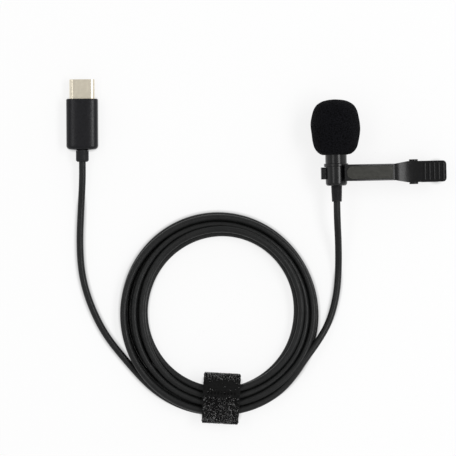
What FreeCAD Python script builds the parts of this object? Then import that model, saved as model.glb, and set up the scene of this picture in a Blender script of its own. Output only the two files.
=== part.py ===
"""Lavalier microphone with its windscreen, swivel clip, coiled cord and plug.

Lengths are in millimetres. The part lies on a flat surface at z = 0, seen from above along -Z.
The microphone's axis runs along Y with its head towards +Y, and the clip reaches out along +X.
The origin is the middle of the base of the microphone, windscreen and clip together.
"""
import FreeCAD, Part
import math
import os
import Sketcher

Vector = FreeCAD.Vector
CROWN = "crown"
Z_AXIS = Vector(0, 0, 1)
Y_AXIS = Vector(0, 1, 0)
X_AXIS = Vector(1, 0, 0)

# Driving dimensions, each written once
SIZES = {
    # Fits between pieces
    "snug_fit": 0.02,
    "seat_gap": 0.05,
    "swivel_fit": 0.05,
    "foam_fit": 0.08,
    "side_play": 0.15,
    # Microphone barrel, measured forwards and backwards from the front of its lip
    "barrel_radius": 3.5,
    "barrel_wall": 0.45,
    "barrel_front": 12.8,
    "barrel_back": 5.9,
    "lip_radius": 4.0,
    "lip_length": 1.0,
    "cap_length": 1.35,
    "cap_rounding": 0.9,
    "spigot_length": 2.5,
    "counterbore_wall": 0.45,
    "grille_thickness": 0.4,
    "grille_hole_radius": 0.22,
    "grille_hole_spacing": 0.95,
    "cloth_thickness": 0.15,
    "capsule_radius": 2.25,
    "capsule_length": 2.2,
    "sound_hole_radius": 0.5,
    "sound_hole_depth": 0.4,
    "boot_length": 2.7,
    "board_radius": 2.0,
    "board_thickness": 0.4,
    "core_radius": 0.3,
    "core_spacing": 1.2,
    "relief_radius": 1.85,
    "relief_end_radius": 1.65,
    "relief_length": 5.2,
    "relief_flange_radius": 2.45,
    "relief_flange_length": 0.8,
    "cable_stub": 0.6,
    # Foam windscreen
    "foam_radius": 8.14,
    "foam_start": 2.76,
    "foam_widest": 11.8,
    "foam_top": 21.1,
    "foam_shoulder_radius": 7.5,
    "foam_shoulder_height": 16.35,
    "foam_dome_radius": 4.6,
    "foam_dome_drop": 0.9,
    "foam_waist_radius": 7.2,
    "foam_waist_height": 5.7,
    "foam_rim_radius": 4.2,
    "foam_bore_room": 0.2,
    "foam_shoulder_crown": 0.34,
    # Clip, measured from the microphone's axis
    "clip_setback": 3.15,
    "clip_pitch": 7.2,
    "cradle_radius": 5.05,
    "cradle_width": 3.9,
    "cradle_arm_height": 0.75,
    "jaw_tip": 2.0,
    "jaw_top": 5.2,
    "jaw_root": 4.3,
    "jaw_face": 2.55,
    "jaw_gap": 0.1,
    "jaw_end": 17.6,
    "jaw_width": 5.4,
    "panel_height": 0.2,
    "panel_width": 4.1,
    "panel_start": 2.7,
    "panel_length": 15.2,
    "tooth_start": 6.4,
    "tooth_pitch": 1.2,
    "tooth_depth": 0.35,
    "neck_top": 4.5,
    "neck_bottom": 3.1,
    "neck_foot": 1.4,
    "shoulder_start": 0.7,
    "shoulder_end": 2.7,
    "flare_start": 1.2,
    "flare_end": 5.4,
    "pivot_reach": 25.4,
    "pivot_height": 1.3,
    "pad_width": 6.9,
    "pad_start": 26.4,
    "pad_end": 35.5,
    "pad_rise": 1.4,
    "pad_corner": 1.3,
    "pad_step": 1.2,
    "pad_lip": 0.5,
    "pad_lip_drop": 0.4,
    "pad_heel": 0.3,
    "rib_start": 28.6,
    "rib_pitch": 1.5,
    "rib_radius": 0.42,
    "rib_recess": 0.3,
    "rib_span": 5.4,
    "rib_overlap": 0.05,
    "ear_radius": 1.9,
    "ear_thickness": 0.8,
    "boss_radius": 1.45,
    "boss_span": 8.1,
    "pin_radius": 0.75,
    "pin_chamfer": 0.15,
    "rear_jaw_tip": 5.9,
    "rear_jaw_depth": 1.55,
    "rear_jaw_taper": 0.7,
    "rear_jaw_root": 0.4,
    "rear_step": 1.4,
    "rear_step_drop": 1.0,
    "rear_plate": 1.3,
    "rear_hump_reach": 2.2,
    "rear_hump": 0.8,
    "rear_belly_reach": 1.4,
    "rear_belly": 0.3,
    "rear_heel_reach": 1.0,
    "rear_heel": 0.6,
    "rear_lip": 0.4,
    "rear_lip_foot": 0.7,
    "rear_lip_drop": 0.1,
    "rear_drop": 1.8,
    "rear_pad_drop": 1.85,
    "rear_ear_radius": 1.6,
    "rear_ear_thickness": 0.8,
    "spring_wire": 0.45,
    "spring_radius": 1.17,
    "spring_pitch": 0.93,
    "spring_leg_reach": 5.6,
    # Plug, measured from the middle of its housing's front face, and that face's place
    "plug_across": 96.65,
    "plug_along": 18.73,
    "housing_width": 10.4,
    "housing_height": 5.8,
    "housing_length": 16.9,
    "housing_rounding": 1.7,
    "housing_wall": 0.8,
    "housing_front_wall": 1.6,
    "housing_rear_wall": 1.2,
    "housing_edge": 0.35,
    "housing_rear_edge": 0.9,
    "shell_width": 8.25,
    "shell_height": 2.4,
    "shell_reach": 6.4,
    "shell_root": 2.8,
    "shell_wall": 0.25,
    "tongue_slot_width": 6.85,
    "tongue_slot_height": 0.9,
    "tongue_slot_depth": 5.4,
    "contact_width": 0.24,
    "contact_spacing": 0.5,
    "contact_thickness": 0.12,
    "contact_length": 4.4,
    "contact_setback": 1.2,
    "contact_tail": 1.4,
    "groove_run": 1.0,
    "latch_width": 0.5,
    "latch_thickness": 0.2,
    "latch_length": 4.2,
    "plug_board_width": 7.2,
    "plug_board_length": 9.6,
    "plug_board_thickness": 0.8,
    "chip_size": 4.0,
    "chip_height": 0.75,
    "chip_setback": 3.0,
    "capacitor_length": 1.0,
    "capacitor_width": 0.5,
    "boot_radius": 2.1,
    "boot_reach": 3.75,
    "boot_chamfer": 0.45,
    "boot_flange_radius": 1.9,
    "boot_flange_length": 0.8,
    # Cord and its tie
    "cable_radius": 1.125,
    "floor_gap": 0.02,
    "coil_across": 53.05,
    "coil_along": 52.52,
    "coil_start_radius": 32.8,
    "coil_pitch": 2.66,
    "coil_layer": 2.7,
    "tie_width": 12.2,
    "tie_span": 16.3,
    "tie_middle": 27.95,
    "tie_thickness": 1.1,
    "tie_room": 0.15,
    "tie_flap": 8.2,
    "tie_turn": -4.2,
}

# Counts and whole-number choices
GRILLE_RINGS = (6, 12)
TOOTH_COUNT = 9
RIB_COUNT = 5
CONTACTS_PER_ROW = 12
SPRING_FULL_TURNS = 2
SPRING_ARCS = 10
COIL_QUARTER_TURNS_IN = 14
COIL_QUARTER_TURNS_UP = 2
COIL_QUARTER_TURNS_OUT = 13
COIL_QUARTER_TURNS = COIL_QUARTER_TURNS_IN + COIL_QUARTER_TURNS_UP + COIL_QUARTER_TURNS_OUT

# Angles in degrees about the upright axis
COIL_START_ANGLE = 222.0
PLUG_HEADING = -0.9

# Points that the free stretches turn at, from the plug to the coil and from the microphone to the coil
PLUG_ROUTE = (
    (-97.8, -17.27, 1.16),
    (-98.6, -28.77, 1.15),
    (-98.3, -39.77, 1.15),
    (-95.6, -49.77, 1.15),
    (-91.4, -58.67, 1.3),
)
MIC_ROUTE = (
    (-13.6, -30.77, 4.4),
    (-13.7, -39.77, 1.5),
    (-14.5, -47.77, 1.75),
    (-16.7, -56.27, 4.1),
    (-20.9, -64.67, 5.15),
)
LEAD_RUN = 8.0
STRAIGHT_RUN = 6.0
ARC_SHARE = 0.45

doc = FreeCAD.newDocument("LavalierMicrophone")
sheet = doc.addObject("Spreadsheet::Sheet", "Sizes")
for row, (alias, value) in enumerate(SIZES.items(), start=1):
    sheet.set("A%d" % row, alias)
    sheet.set("B%d" % row, str(value))
    sheet.setAlias("B%d" % row, alias)
doc.recompute()

# Lengths in millimetres under which two places are the same, or near enough for an edge to be found
SAME = 1e-4
NEAR = 0.01


def bind(expression):
    """Every alias in an expression gets the sheet's name in front of it."""
    words = []
    for word in expression.replace("(", " ( ").replace(")", " ) ").split():
        words.append("Sizes." + word if word in SIZES else word)
    return " ".join(words)


def size(expression):
    """The value of an expression in the sheet's aliases, with spaces between its words."""
    return float(sheet.evalExpression(bind(expression)))


def grouped(name, members):
    """One piece made of simple solids, which keeps their places about its own origin."""
    group = doc.addObject("Part::Compound", name)
    group.Label = name
    group.Links = members
    doc.recompute()
    return group


def new_body(name):
    body = doc.addObject("PartDesign::Body", name)
    body.Label = name
    return body


def new_sketch(body, name, role):
    sketch = body.newObject("Sketcher::SketchObject", name)
    plane = [feature for feature in body.Origin.OriginFeatures if feature.Role == role][0]
    sketch.AttachmentSupport = [(plane, "")]
    sketch.MapMode = "FlatFace"
    return sketch


def hold(sketch, geometry, end, across, along):
    """Tie one point of a sketch to its two expressions, measured from the sketch's origin."""
    for kind, expression, axis in (("DistanceX", across, -2), ("DistanceY", along, -1)):
        if expression == "0":
            sketch.addConstraint(Sketcher.Constraint("PointOnObject", geometry, end, axis))
            continue
        index = sketch.addConstraint(
            Sketcher.Constraint(kind, -1, 1, geometry, end, size(expression))
        )
        sketch.setExpression("Constraints[%d]" % index, bind(expression))


def outline(sketch, corners):
    """Close an outline through corners (across, along), each held by its expressions.

    A corner with two more expressions starts an arc that passes through that third point, and a
    corner marked CROWN starts an arc whose centre lies on the sketch's upright axis.
    """
    places = [Vector(size(corner[0]), size(corner[1]), 0) for corner in corners]
    starts = []
    ends = []
    for index, corner in enumerate(corners):
        here = places[index]
        there = places[(index + 1) % len(corners)]
        if corner[-1] == CROWN:
            level = (here.dot(here) - there.dot(there)) / (2 * (here.y - there.y))
            centre = Vector(0, level, 0)
            middle = (here + there) * 0.5 - centre
            via = centre + middle.normalize() * (here - centre).Length
            geometry = sketch.addGeometry(Part.Arc(here, via, there))
            forward = sketch.getPoint(geometry, 1).sub(here).Length < SAME
            sketch.addConstraint(Sketcher.Constraint("PointOnObject", geometry, 3, -2))
        elif len(corner) == 4:
            via = Vector(size(corner[2]), size(corner[3]), 0)
            geometry = sketch.addGeometry(Part.Arc(here, via, there))
            forward = sketch.getPoint(geometry, 1).sub(here).Length < SAME
            point = sketch.addGeometry(Part.Point(via), True)
            hold(sketch, point, 1, corner[2], corner[3])
            sketch.addConstraint(Sketcher.Constraint("PointOnObject", point, 1, geometry))
        else:
            geometry = sketch.addGeometry(Part.LineSegment(here, there))
            forward = True
        starts.append((geometry, 1 if forward else 2))
        ends.append((geometry, 2 if forward else 1))
    for index, corner in enumerate(corners):
        before = ends[index - 1]
        after = starts[index]
        sketch.addConstraint(Sketcher.Constraint("Coincident", before[0], before[1], after[0], after[1]))
        hold(sketch, after[0], after[1], corner[0], corner[1])


def circle(sketch, across, along, radius):
    centre = Vector(size(across), size(along), 0)
    geometry = sketch.addGeometry(Part.Circle(centre, Z_AXIS, size(radius)))
    hold(sketch, geometry, 3, across, along)
    index = sketch.addConstraint(Sketcher.Constraint("Radius", geometry, size(radius)))
    sketch.setExpression("Constraints[%d]" % index, bind(radius))


def stadium(sketch, width, height):
    """A slot outline about the sketch's origin, with half-round ends."""
    flat = "( %s - ( %s ) ) / 2" % (width, height)
    half = "( %s ) / 2" % height
    outline(sketch, (
        ("0 - " + flat, "0 - " + half),
        (flat, "0 - " + half, flat + " + " + half, "0"),
        (flat, half),
        ("0 - " + flat, half, "0 - " + flat + " - " + half, "0"),
    ))


def turned(body, name, corners):
    """A solid of revolution about the body's Y axis, from its outline of (radius, place) corners."""
    sketch = new_sketch(body, name + "Outline", "XY_Plane")
    outline(sketch, corners)
    feature = body.newObject("PartDesign::Revolution", name)
    feature.Profile = sketch
    feature.ReferenceAxis = (sketch, ["V_Axis"])
    feature.Angle = 360
    doc.recompute()
    return feature


def slab(body, name, sketch, length, cut=False):
    """Pad a sketch, or cut it away, evenly to both sides of its plane."""
    before = body.Shape.Volume if cut else 0.0
    feature = body.newObject("PartDesign::Pocket" if cut else "PartDesign::Pad", name)
    feature.Profile = sketch
    feature.setExpression("Length", bind(length))
    feature.Midplane = True
    doc.recompute()
    if cut and not body.Shape.Volume < before:
        raise RuntimeError(name + " cuts nothing")
    return feature


def one_sided(body, name, sketch, length, reverse=False):
    feature = body.newObject("PartDesign::Pad", name)
    feature.Profile = sketch
    feature.setExpression("Length", bind(length))
    feature.Reversed = reverse
    doc.recompute()
    return feature


def edges_where(shape, test):
    return ["Edge%d" % (index + 1) for index, edge in enumerate(shape.Edges) if test(edge)]


def rounded(body, name, kind, value, test):
    """Fillet or chamfer the edges of the body's last feature that pass a test."""
    base = body.Tip
    feature = body.newObject("PartDesign::" + kind, name)
    feature.Base = (base, edges_where(base.Shape, test))
    feature.setExpression("Radius" if kind == "Fillet" else "Size", bind(value))
    doc.recompute()
    return feature


def is_ring_at(edge, place, radius):
    """Whether an edge is a circle about the Y axis at a place along it, with that radius."""
    box = edge.BoundBox
    return abs(box.YMin - place) < SAME and box.YLength < SAME and abs(box.XMax - radius) < NEAR


# Microphone

def make_barrel():
    body = new_body("mic_barrel")
    inner = "barrel_radius - barrel_wall"
    turned(body, "Tube", (
        (inner, "0 - barrel_back"),
        ("barrel_radius", "0 - barrel_back"),
        ("barrel_radius", "0 - lip_length"),
        ("lip_radius", "0 - lip_length"),
        ("lip_radius", "0"),
        ("barrel_radius", "0"),
        ("barrel_radius", "barrel_front"),
        (inner, "barrel_front"),
    ))
    lip = size("lip_radius")
    rounded(body, "LipEdges", "Fillet", "lip_length * 0.2", lambda edge: (
        is_ring_at(edge, 0.0, lip) or is_ring_at(edge, -size("lip_length"), lip)
    ))
    front = size("barrel_front")
    rounded(body, "FrontEdge", "Fillet", "barrel_wall * 0.6", lambda edge: (
        is_ring_at(edge, front, size("barrel_radius"))
    ))
    return body


def make_tail_cap():
    body = new_body("tail_cap")
    spigot = "barrel_radius - barrel_wall - snug_fit"
    hole = "relief_radius + snug_fit"
    counterbore = "barrel_radius - barrel_wall - snug_fit - counterbore_wall"
    floor = "0 - barrel_back - cap_length + cap_length * 0.6"
    turned(body, "Cap", (
        (hole, "0 - barrel_back - cap_length"),
        ("barrel_radius", "0 - barrel_back - cap_length"),
        ("barrel_radius", "0 - barrel_back"),
        (spigot, "0 - barrel_back"),
        (spigot, "0 - barrel_back + spigot_length"),
        (counterbore, "0 - barrel_back + spigot_length"),
        (counterbore, floor),
        (hole, floor),
    ))
    back = -size("barrel_back + cap_length")
    rounded(body, "TailRounding", "Fillet", "cap_rounding", lambda edge: (
        is_ring_at(edge, back, size("barrel_radius"))
    ))
    return body


def make_mic_relief():
    body = new_body("mic_strain_relief")
    bore = "cable_radius + snug_fit"
    back = "0 - barrel_back - cap_length"
    flange = "0 - barrel_back - cap_length * 0.4 + seat_gap"
    turned(body, "Relief", (
        (bore, back + " - relief_length"),
        ("relief_end_radius", back + " - relief_length"),
        ("relief_radius", back),
        ("relief_radius", flange),
        ("relief_flange_radius", flange),
        ("relief_flange_radius", flange + " + relief_flange_length"),
        (bore, flange + " + relief_flange_length"),
    ))
    end = -size("barrel_back + cap_length + relief_length")
    rounded(body, "ReliefEnd", "Fillet", "( relief_end_radius - cable_radius ) * 0.5", lambda edge: (
        is_ring_at(edge, end, size("relief_end_radius"))
    ))
    return body


def make_front_grille():
    body = new_body("front_grille")
    radius = "barrel_radius - barrel_wall - snug_fit"
    turned(body, "Disc", (
        ("0", "barrel_front - grille_thickness"),
        (radius, "barrel_front - grille_thickness"),
        (radius, "barrel_front"),
        ("0", "barrel_front"),
    ))
    sketch = new_sketch(body, "HolesOutline", "XZ_Plane")
    circle(sketch, "0", "0", "grille_hole_radius")
    for ring, count in enumerate(GRILLE_RINGS, start=1):
        for step in range(count):
            turn = 2 * math.pi * step / count
            across = "grille_hole_spacing * %d * %.6f" % (ring, math.cos(turn))
            along = "grille_hole_spacing * %d * %.6f" % (ring, math.sin(turn))
            circle(sketch, across, along, "grille_hole_radius")
    slab(body, "Holes", sketch, "( barrel_front + grille_thickness ) * 2", cut=True)
    return body


def make_dust_cloth():
    body = new_body("dust_cloth")
    radius = "barrel_radius - barrel_wall - snug_fit"
    front = "barrel_front - grille_thickness - snug_fit"
    turned(body, "Disc", (
        ("0", front + " - cloth_thickness"),
        (radius, front + " - cloth_thickness"),
        (radius, front),
        ("0", front),
    ))
    return body


CAPSULE_FRONT = "barrel_front - grille_thickness - cloth_thickness - snug_fit - seat_gap"


def make_capsule_boot():
    body = new_body("capsule_boot")
    outer = "barrel_radius - barrel_wall - snug_fit"
    inner = "capsule_radius + snug_fit"
    turned(body, "Sleeve", (
        (inner, CAPSULE_FRONT + " - boot_length"),
        (outer, CAPSULE_FRONT + " - boot_length"),
        (outer, CAPSULE_FRONT),
        (inner, CAPSULE_FRONT),
    ))
    return body


def make_capsule():
    body = new_body("electret_capsule")
    turned(body, "Can", (
        ("0", CAPSULE_FRONT + " - capsule_length"),
        ("capsule_radius", CAPSULE_FRONT + " - capsule_length"),
        ("capsule_radius", CAPSULE_FRONT),
        ("sound_hole_radius", CAPSULE_FRONT),
        ("sound_hole_radius", CAPSULE_FRONT + " - sound_hole_depth"),
        ("0", CAPSULE_FRONT + " - sound_hole_depth"),
    ))
    return body


BOARD_FRONT = CAPSULE_FRONT + " - capsule_length - seat_gap"


def make_capsule_board():
    body = new_body("capsule_board")
    turned(body, "Disc", (
        ("0", BOARD_FRONT + " - board_thickness"),
        ("board_radius", BOARD_FRONT + " - board_thickness"),
        ("board_radius", BOARD_FRONT),
        ("0", BOARD_FRONT),
    ))
    return body


CABLE_END_IN_MIC = "0 - barrel_back - cap_length * 0.4 + seat_gap + relief_flange_length + cable_stub"


def make_signal_wires():
    """Two cores from the end of the cable to the board behind the capsule."""
    cores = []
    for side in (-1, 1):
        core = doc.addObject("Part::Cylinder", "Core")
        core.setExpression("Radius", bind("core_radius"))
        core.setExpression("Height", bind(
            BOARD_FRONT + " - board_thickness - seat_gap - seat_gap - ( " + CABLE_END_IN_MIC + " )"
        ))
        core.Placement.Rotation = FreeCAD.Rotation(X_AXIS, -90)
        core.setExpression("Placement.Base.x", bind("core_spacing / 2 * %d" % side))
        core.setExpression("Placement.Base.y", bind(CABLE_END_IN_MIC + " + seat_gap"))
        cores.append(core)
    return grouped("signal_wires", cores)


# Windscreen

def make_windscreen():
    """A barrel-shaped foam cap: dome, shoulder, side and rim, each an arc, with a blind bore."""
    body = new_body("foam_windscreen")
    bore = "barrel_radius + foam_fit"
    bore_top = "barrel_front + foam_bore_room"
    shoulder = "foam_shoulder_radius * 0.5 + foam_dome_radius * 0.5 + foam_shoulder_crown"
    shoulder_height = "foam_shoulder_height * 0.3 + ( foam_top - foam_dome_drop ) * 0.7"
    turned(body, "Foam", (
        (bore, "foam_start"),
        ("foam_rim_radius", "foam_start",
         "foam_waist_radius * 0.82 + foam_rim_radius * 0.18",
         "foam_start + ( foam_waist_height - foam_start ) * 0.32"),
        ("foam_waist_radius", "foam_waist_height", "foam_radius", "foam_widest"),
        ("foam_shoulder_radius", "foam_shoulder_height", shoulder, shoulder_height),
        ("foam_dome_radius", "foam_top - foam_dome_drop", CROWN),
        ("0", "foam_top"),
        ("0", bore_top),
        (bore, bore_top),
    ))
    return body


# Clip

PAD_TOP_LOW = "neck_top + ( neck_top - neck_bottom ) * 0.2"
PAD_TOP_HIGH = PAD_TOP_LOW + " + pad_rise"
REAR_FACE = "jaw_face - jaw_gap"
EAR_SPAN = "pad_width - ear_thickness * 2"
REAR_HUB = "pad_width - ear_thickness * 2 - side_play * 2"


def is_upright(edge, bottom, top):
    """Whether an edge runs straight up between two heights and keeps its place across."""
    box = edge.BoundBox
    return box.XLength < SAME and box.YLength < SAME and box.ZMin > bottom - NEAR and box.ZMax < top + NEAR


def make_front_lever():
    """The lever towards the viewer: cradle for the barrel, jaw, hinge ears and ribbed thumb pad."""
    body = new_body("clip_front_lever")
    side = new_sketch(body, "SideOutline", "XZ_Plane")
    outline(side, (
        ("jaw_tip", "lip_radius + side_play"),
        ("jaw_root", "lip_radius + side_play"),
        ("jaw_root", "jaw_face"),
        ("jaw_end", "jaw_face"),
        ("jaw_end + neck_foot", "neck_bottom"),
        ("pad_start", "neck_bottom"),
        ("pad_end - pad_heel", "neck_bottom + pad_rise"),
        ("pad_end", "neck_bottom + pad_rise + pad_lip"),
        ("pad_end", PAD_TOP_HIGH + " - pad_lip_drop"),
        ("pad_end - pad_lip", PAD_TOP_HIGH),
        ("pad_start", PAD_TOP_LOW),
        ("pad_start - pad_step", "neck_top"),
        ("jaw_end + shoulder_end", "neck_top"),
        ("jaw_end + shoulder_start", "jaw_top"),
        ("jaw_tip", "jaw_top"),
    ))
    slab(body, "Lever", side, "pad_width")

    waist = new_sketch(body, "WaistOutline", "XY_Plane")
    for sign in ("", "0 - "):
        outline(waist, (
            ("jaw_tip - pad_width", sign + "jaw_width / 2"),
            ("jaw_end + flare_start", sign + "jaw_width / 2"),
            ("jaw_end + flare_end", sign + "pad_width / 2"),
            ("jaw_end + flare_end", sign + "pad_width"),
            ("jaw_tip - pad_width", sign + "pad_width"),
        ))
    slab(body, "Waist", waist, "jaw_top * 4", cut=True)
    rounded(body, "PadCorners", "Fillet", "pad_corner", lambda edge: (
        edge.BoundBox.XMin > size("pad_end") - NEAR and is_upright(edge, 0.0, size("jaw_top") * 2)
    ))

    rise = "pad_rise / ( pad_end - pad_lip - pad_start )"
    floor = PAD_TOP_LOW + " - rib_recess + ( %s - pad_start ) * " + rise
    near = "( rib_start - rib_pitch * 0.75 )"
    far = "( rib_start + rib_pitch * %.2f )" % (RIB_COUNT - 1 + 0.45)
    recess = new_sketch(body, "RecessOutline", "XZ_Plane")
    outline(recess, (
        (near, floor % near),
        (far, floor % far),
        (far, PAD_TOP_HIGH + " + pad_rise"),
        (near, PAD_TOP_HIGH + " + pad_rise"),
    ))
    slab(body, "Recess", recess, "rib_span", cut=True)
    ribs = new_sketch(body, "RibsOutline", "XZ_Plane")
    for index in range(RIB_COUNT):
        place = "( rib_start + rib_pitch * %d )" % index
        circle(ribs, place, floor % place, "rib_radius")
    slab(body, "Ribs", ribs, "rib_span + rib_overlap * 2")

    teeth = new_sketch(body, "TeethOutline", "XZ_Plane")
    for index in range(TOOTH_COUNT):
        middle = "tooth_start + tooth_pitch * %d" % index
        outline(teeth, (
            (middle + " - tooth_pitch * 0.6", "jaw_face - tooth_depth"),
            (middle + " + tooth_pitch * 0.6", "jaw_face - tooth_depth"),
            (middle, "jaw_face + tooth_depth"),
        ))
    slab(body, "Teeth", teeth, "jaw_width * 2", cut=True)

    panel = new_sketch(body, "PanelOutline", "XZ_Plane")
    outline(panel, (
        ("panel_start", "jaw_top - panel_height"),
        ("panel_start + panel_length", "jaw_top - panel_height"),
        ("panel_start + panel_length", "jaw_top + panel_height"),
        ("panel_start", "jaw_top + panel_height"),
    ))
    slab(body, "Panel", panel, "panel_width")
    rounded(body, "PanelCorners", "Fillet", "panel_width * 0.45", lambda edge: (
        abs(edge.BoundBox.XMin - size("panel_start")) < 0.01
        and is_upright(edge, size("jaw_top"), size("jaw_top + panel_height"))
    ))

    ring = new_sketch(body, "CradleOutline", "XZ_Plane")
    circle(ring, "0", "0", "cradle_radius")
    slab(body, "Cradle", ring, "cradle_width")
    bore = new_sketch(body, "CradleBoreOutline", "XZ_Plane")
    circle(bore, "0", "0", "barrel_radius + swivel_fit")
    slab(body, "CradleBore", bore, "jaw_width * 2", cut=True)
    mouth = new_sketch(body, "CradleMouthOutline", "XZ_Plane")
    outline(mouth, (
        ("0 - cradle_radius * 2", "cradle_arm_height"),
        ("jaw_tip", "cradle_arm_height"),
        ("jaw_tip", "jaw_top * 2"),
        ("0 - cradle_radius * 2", "jaw_top * 2"),
    ))
    slab(body, "CradleMouth", mouth, "jaw_width * 2", cut=True)

    ears = new_sketch(body, "EarsOutline", "XZ_Plane")
    outline(ears, (
        ("pivot_reach - ear_radius", "pivot_height",
         "pivot_reach", "pivot_height - ear_radius"),
        ("pivot_reach + ear_radius", "pivot_height"),
        ("pivot_reach + ear_radius * 0.8", "neck_bottom + ( neck_top - neck_bottom ) / 2"),
        ("pivot_reach - ear_radius", "neck_bottom + ( neck_top - neck_bottom ) / 2"),
    ))
    slab(body, "Ears", ears, "pad_width")
    bosses = new_sketch(body, "BossesOutline", "XZ_Plane")
    circle(bosses, "pivot_reach", "pivot_height", "boss_radius")
    slab(body, "Bosses", bosses, "boss_span")
    between = new_sketch(body, "BetweenEarsOutline", "XZ_Plane")
    outline(between, (
        ("pivot_reach - ear_radius * 1.3", "pivot_height - ear_radius * 1.3"),
        ("pivot_reach + ear_radius * 1.3", "pivot_height - ear_radius * 1.3"),
        ("pivot_reach + ear_radius * 1.3", "neck_bottom"),
        ("pivot_reach - ear_radius * 1.3", "neck_bottom"),
    ))
    slab(body, "BetweenEars", between, EAR_SPAN, cut=True)
    hole = new_sketch(body, "PinHoleOutline", "XZ_Plane")
    circle(hole, "pivot_reach", "pivot_height", "pin_radius + snug_fit")
    slab(body, "PinHole", hole, "boss_span * 2", cut=True)
    return body


REAR_PAD_START = "( pivot_reach + rear_heel_reach )"
REAR_SLOPE = "rear_pad_drop / ( pad_end - rear_lip - " + REAR_PAD_START + " )"
REAR_TOP_LOW = "pivot_height - rear_drop"


def make_rear_lever():
    """The lever below: plain jaw, two hinge ears inside the front lever's, and a thumb pad."""
    body = new_body("clip_rear_lever")
    side = new_sketch(body, "SideOutline", "XZ_Plane")
    outline(side, (
        ("rear_jaw_tip", REAR_FACE),
        ("rear_jaw_tip", REAR_FACE + " - rear_jaw_depth"),
        ("jaw_end", REAR_FACE + " - rear_jaw_depth - rear_jaw_taper"),
        ("pivot_reach - rear_belly_reach", REAR_TOP_LOW + " + rear_belly - rear_plate"),
        (REAR_PAD_START + " + rear_heel", REAR_TOP_LOW + " - rear_plate"),
        ("pad_end - rear_lip_foot", REAR_TOP_LOW + " - rear_pad_drop - rear_plate - rear_lip_drop"),
        ("pad_end", REAR_TOP_LOW + " - rear_pad_drop - rear_plate * 0.5"),
        ("pad_end - rear_lip", REAR_TOP_LOW + " - rear_pad_drop"),
        (REAR_PAD_START, REAR_TOP_LOW),
        ("pivot_reach - rear_hump_reach", REAR_TOP_LOW + " + rear_hump"),
        ("jaw_end + rear_step", REAR_FACE + " - rear_step_drop"),
        ("jaw_end + rear_jaw_root", REAR_FACE),
    ))
    slab(body, "Lever", side, "pad_width")
    waist = new_sketch(body, "WaistOutline", "XY_Plane")
    for sign in ("", "0 - "):
        outline(waist, (
            ("rear_jaw_tip - pad_width", sign + "jaw_width / 2"),
            ("pivot_reach - ear_radius * 2.2", sign + "jaw_width / 2"),
            ("pivot_reach - ear_radius * 1.8", sign + "( " + REAR_HUB + " ) / 2"),
            ("pivot_reach + ear_radius * 1.3", sign + "( " + REAR_HUB + " ) / 2"),
            ("pivot_reach + ear_radius * 1.6", sign + "pad_width / 2"),
            ("pivot_reach + ear_radius * 1.6", sign + "pad_width"),
            ("rear_jaw_tip - pad_width", sign + "pad_width"),
        ))
    slab(body, "Waist", waist, "jaw_top * 4", cut=True)
    rounded(body, "PadCorners", "Fillet", "pad_corner", lambda edge: (
        edge.BoundBox.XMin > size("pad_end - pad_corner") and edge.BoundBox.YLength < SAME
        and abs(edge.BoundBox.YMin) > size("pad_width") / 2 - 0.01
        and edge.BoundBox.ZLength > size("rear_plate") * 0.4 and edge.BoundBox.XLength < size("rear_plate")
    ))
    teeth = new_sketch(body, "TeethOutline", "XZ_Plane")
    for index in range(TOOTH_COUNT):
        middle = "tooth_start + tooth_pitch * %.1f" % (index + 0.5)
        outline(teeth, (
            (middle + " - tooth_pitch * 0.6", REAR_FACE + " + tooth_depth"),
            (middle + " + tooth_pitch * 0.6", REAR_FACE + " + tooth_depth"),
            (middle, REAR_FACE + " - tooth_depth"),
        ))
    slab(body, "Teeth", teeth, "jaw_width * 2", cut=True)
    ears = new_sketch(body, "EarsOutline", "XZ_Plane")
    outline(ears, (
        ("pivot_reach - rear_ear_radius", REAR_TOP_LOW),
        ("pivot_reach + rear_ear_radius * 0.8", REAR_TOP_LOW + " - rear_plate * 0.5"),
        ("pivot_reach + rear_ear_radius", "pivot_height",
         "pivot_reach", "pivot_height + rear_ear_radius"),
        ("pivot_reach - rear_ear_radius", "pivot_height"),
    ))
    slab(body, "Ears", ears, REAR_HUB)
    between = new_sketch(body, "BetweenEarsOutline", "XZ_Plane")
    outline(between, (
        ("pivot_reach - rear_hump_reach", REAR_TOP_LOW + " + rear_hump"),
        (REAR_PAD_START, REAR_TOP_LOW),
        (REAR_PAD_START + " + rear_heel_reach", REAR_TOP_LOW + " - rear_heel_reach * " + REAR_SLOPE),
        (REAR_PAD_START + " + rear_heel_reach", "neck_bottom"),
        ("pivot_reach - rear_hump_reach", "neck_bottom"),
    ))
    slab(body, "BetweenEars", between, REAR_HUB + " - rear_ear_thickness * 2", cut=True)
    hole = new_sketch(body, "PinHoleOutline", "XZ_Plane")
    circle(hole, "pivot_reach", "pivot_height", "pin_radius + swivel_fit")
    slab(body, "PinHole", hole, "boss_span * 2", cut=True)
    return body


def make_hinge_pin():
    body = new_body("hinge_pin")
    section = new_sketch(body, "PinOutline", "XZ_Plane")
    circle(section, "pivot_reach", "pivot_height", "pin_radius")
    slab(body, "Pin", section, "boss_span")
    rounded(body, "PinEnds", "Chamfer", "pin_chamfer", lambda edge: edge.Closed)
    return body


# Paths of wound wire and of the cord

def arc_through(start, corner, end):
    """The arc that leaves start towards corner and reaches end from it, both at one distance."""
    half = (corner - start).getAngle(end - start)
    weight = math.cos(half)
    middle = (start + end + corner * (2 * weight)) * (1 / (2 + 2 * weight))
    return Part.Arc(start, middle, end).toShape()


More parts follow.
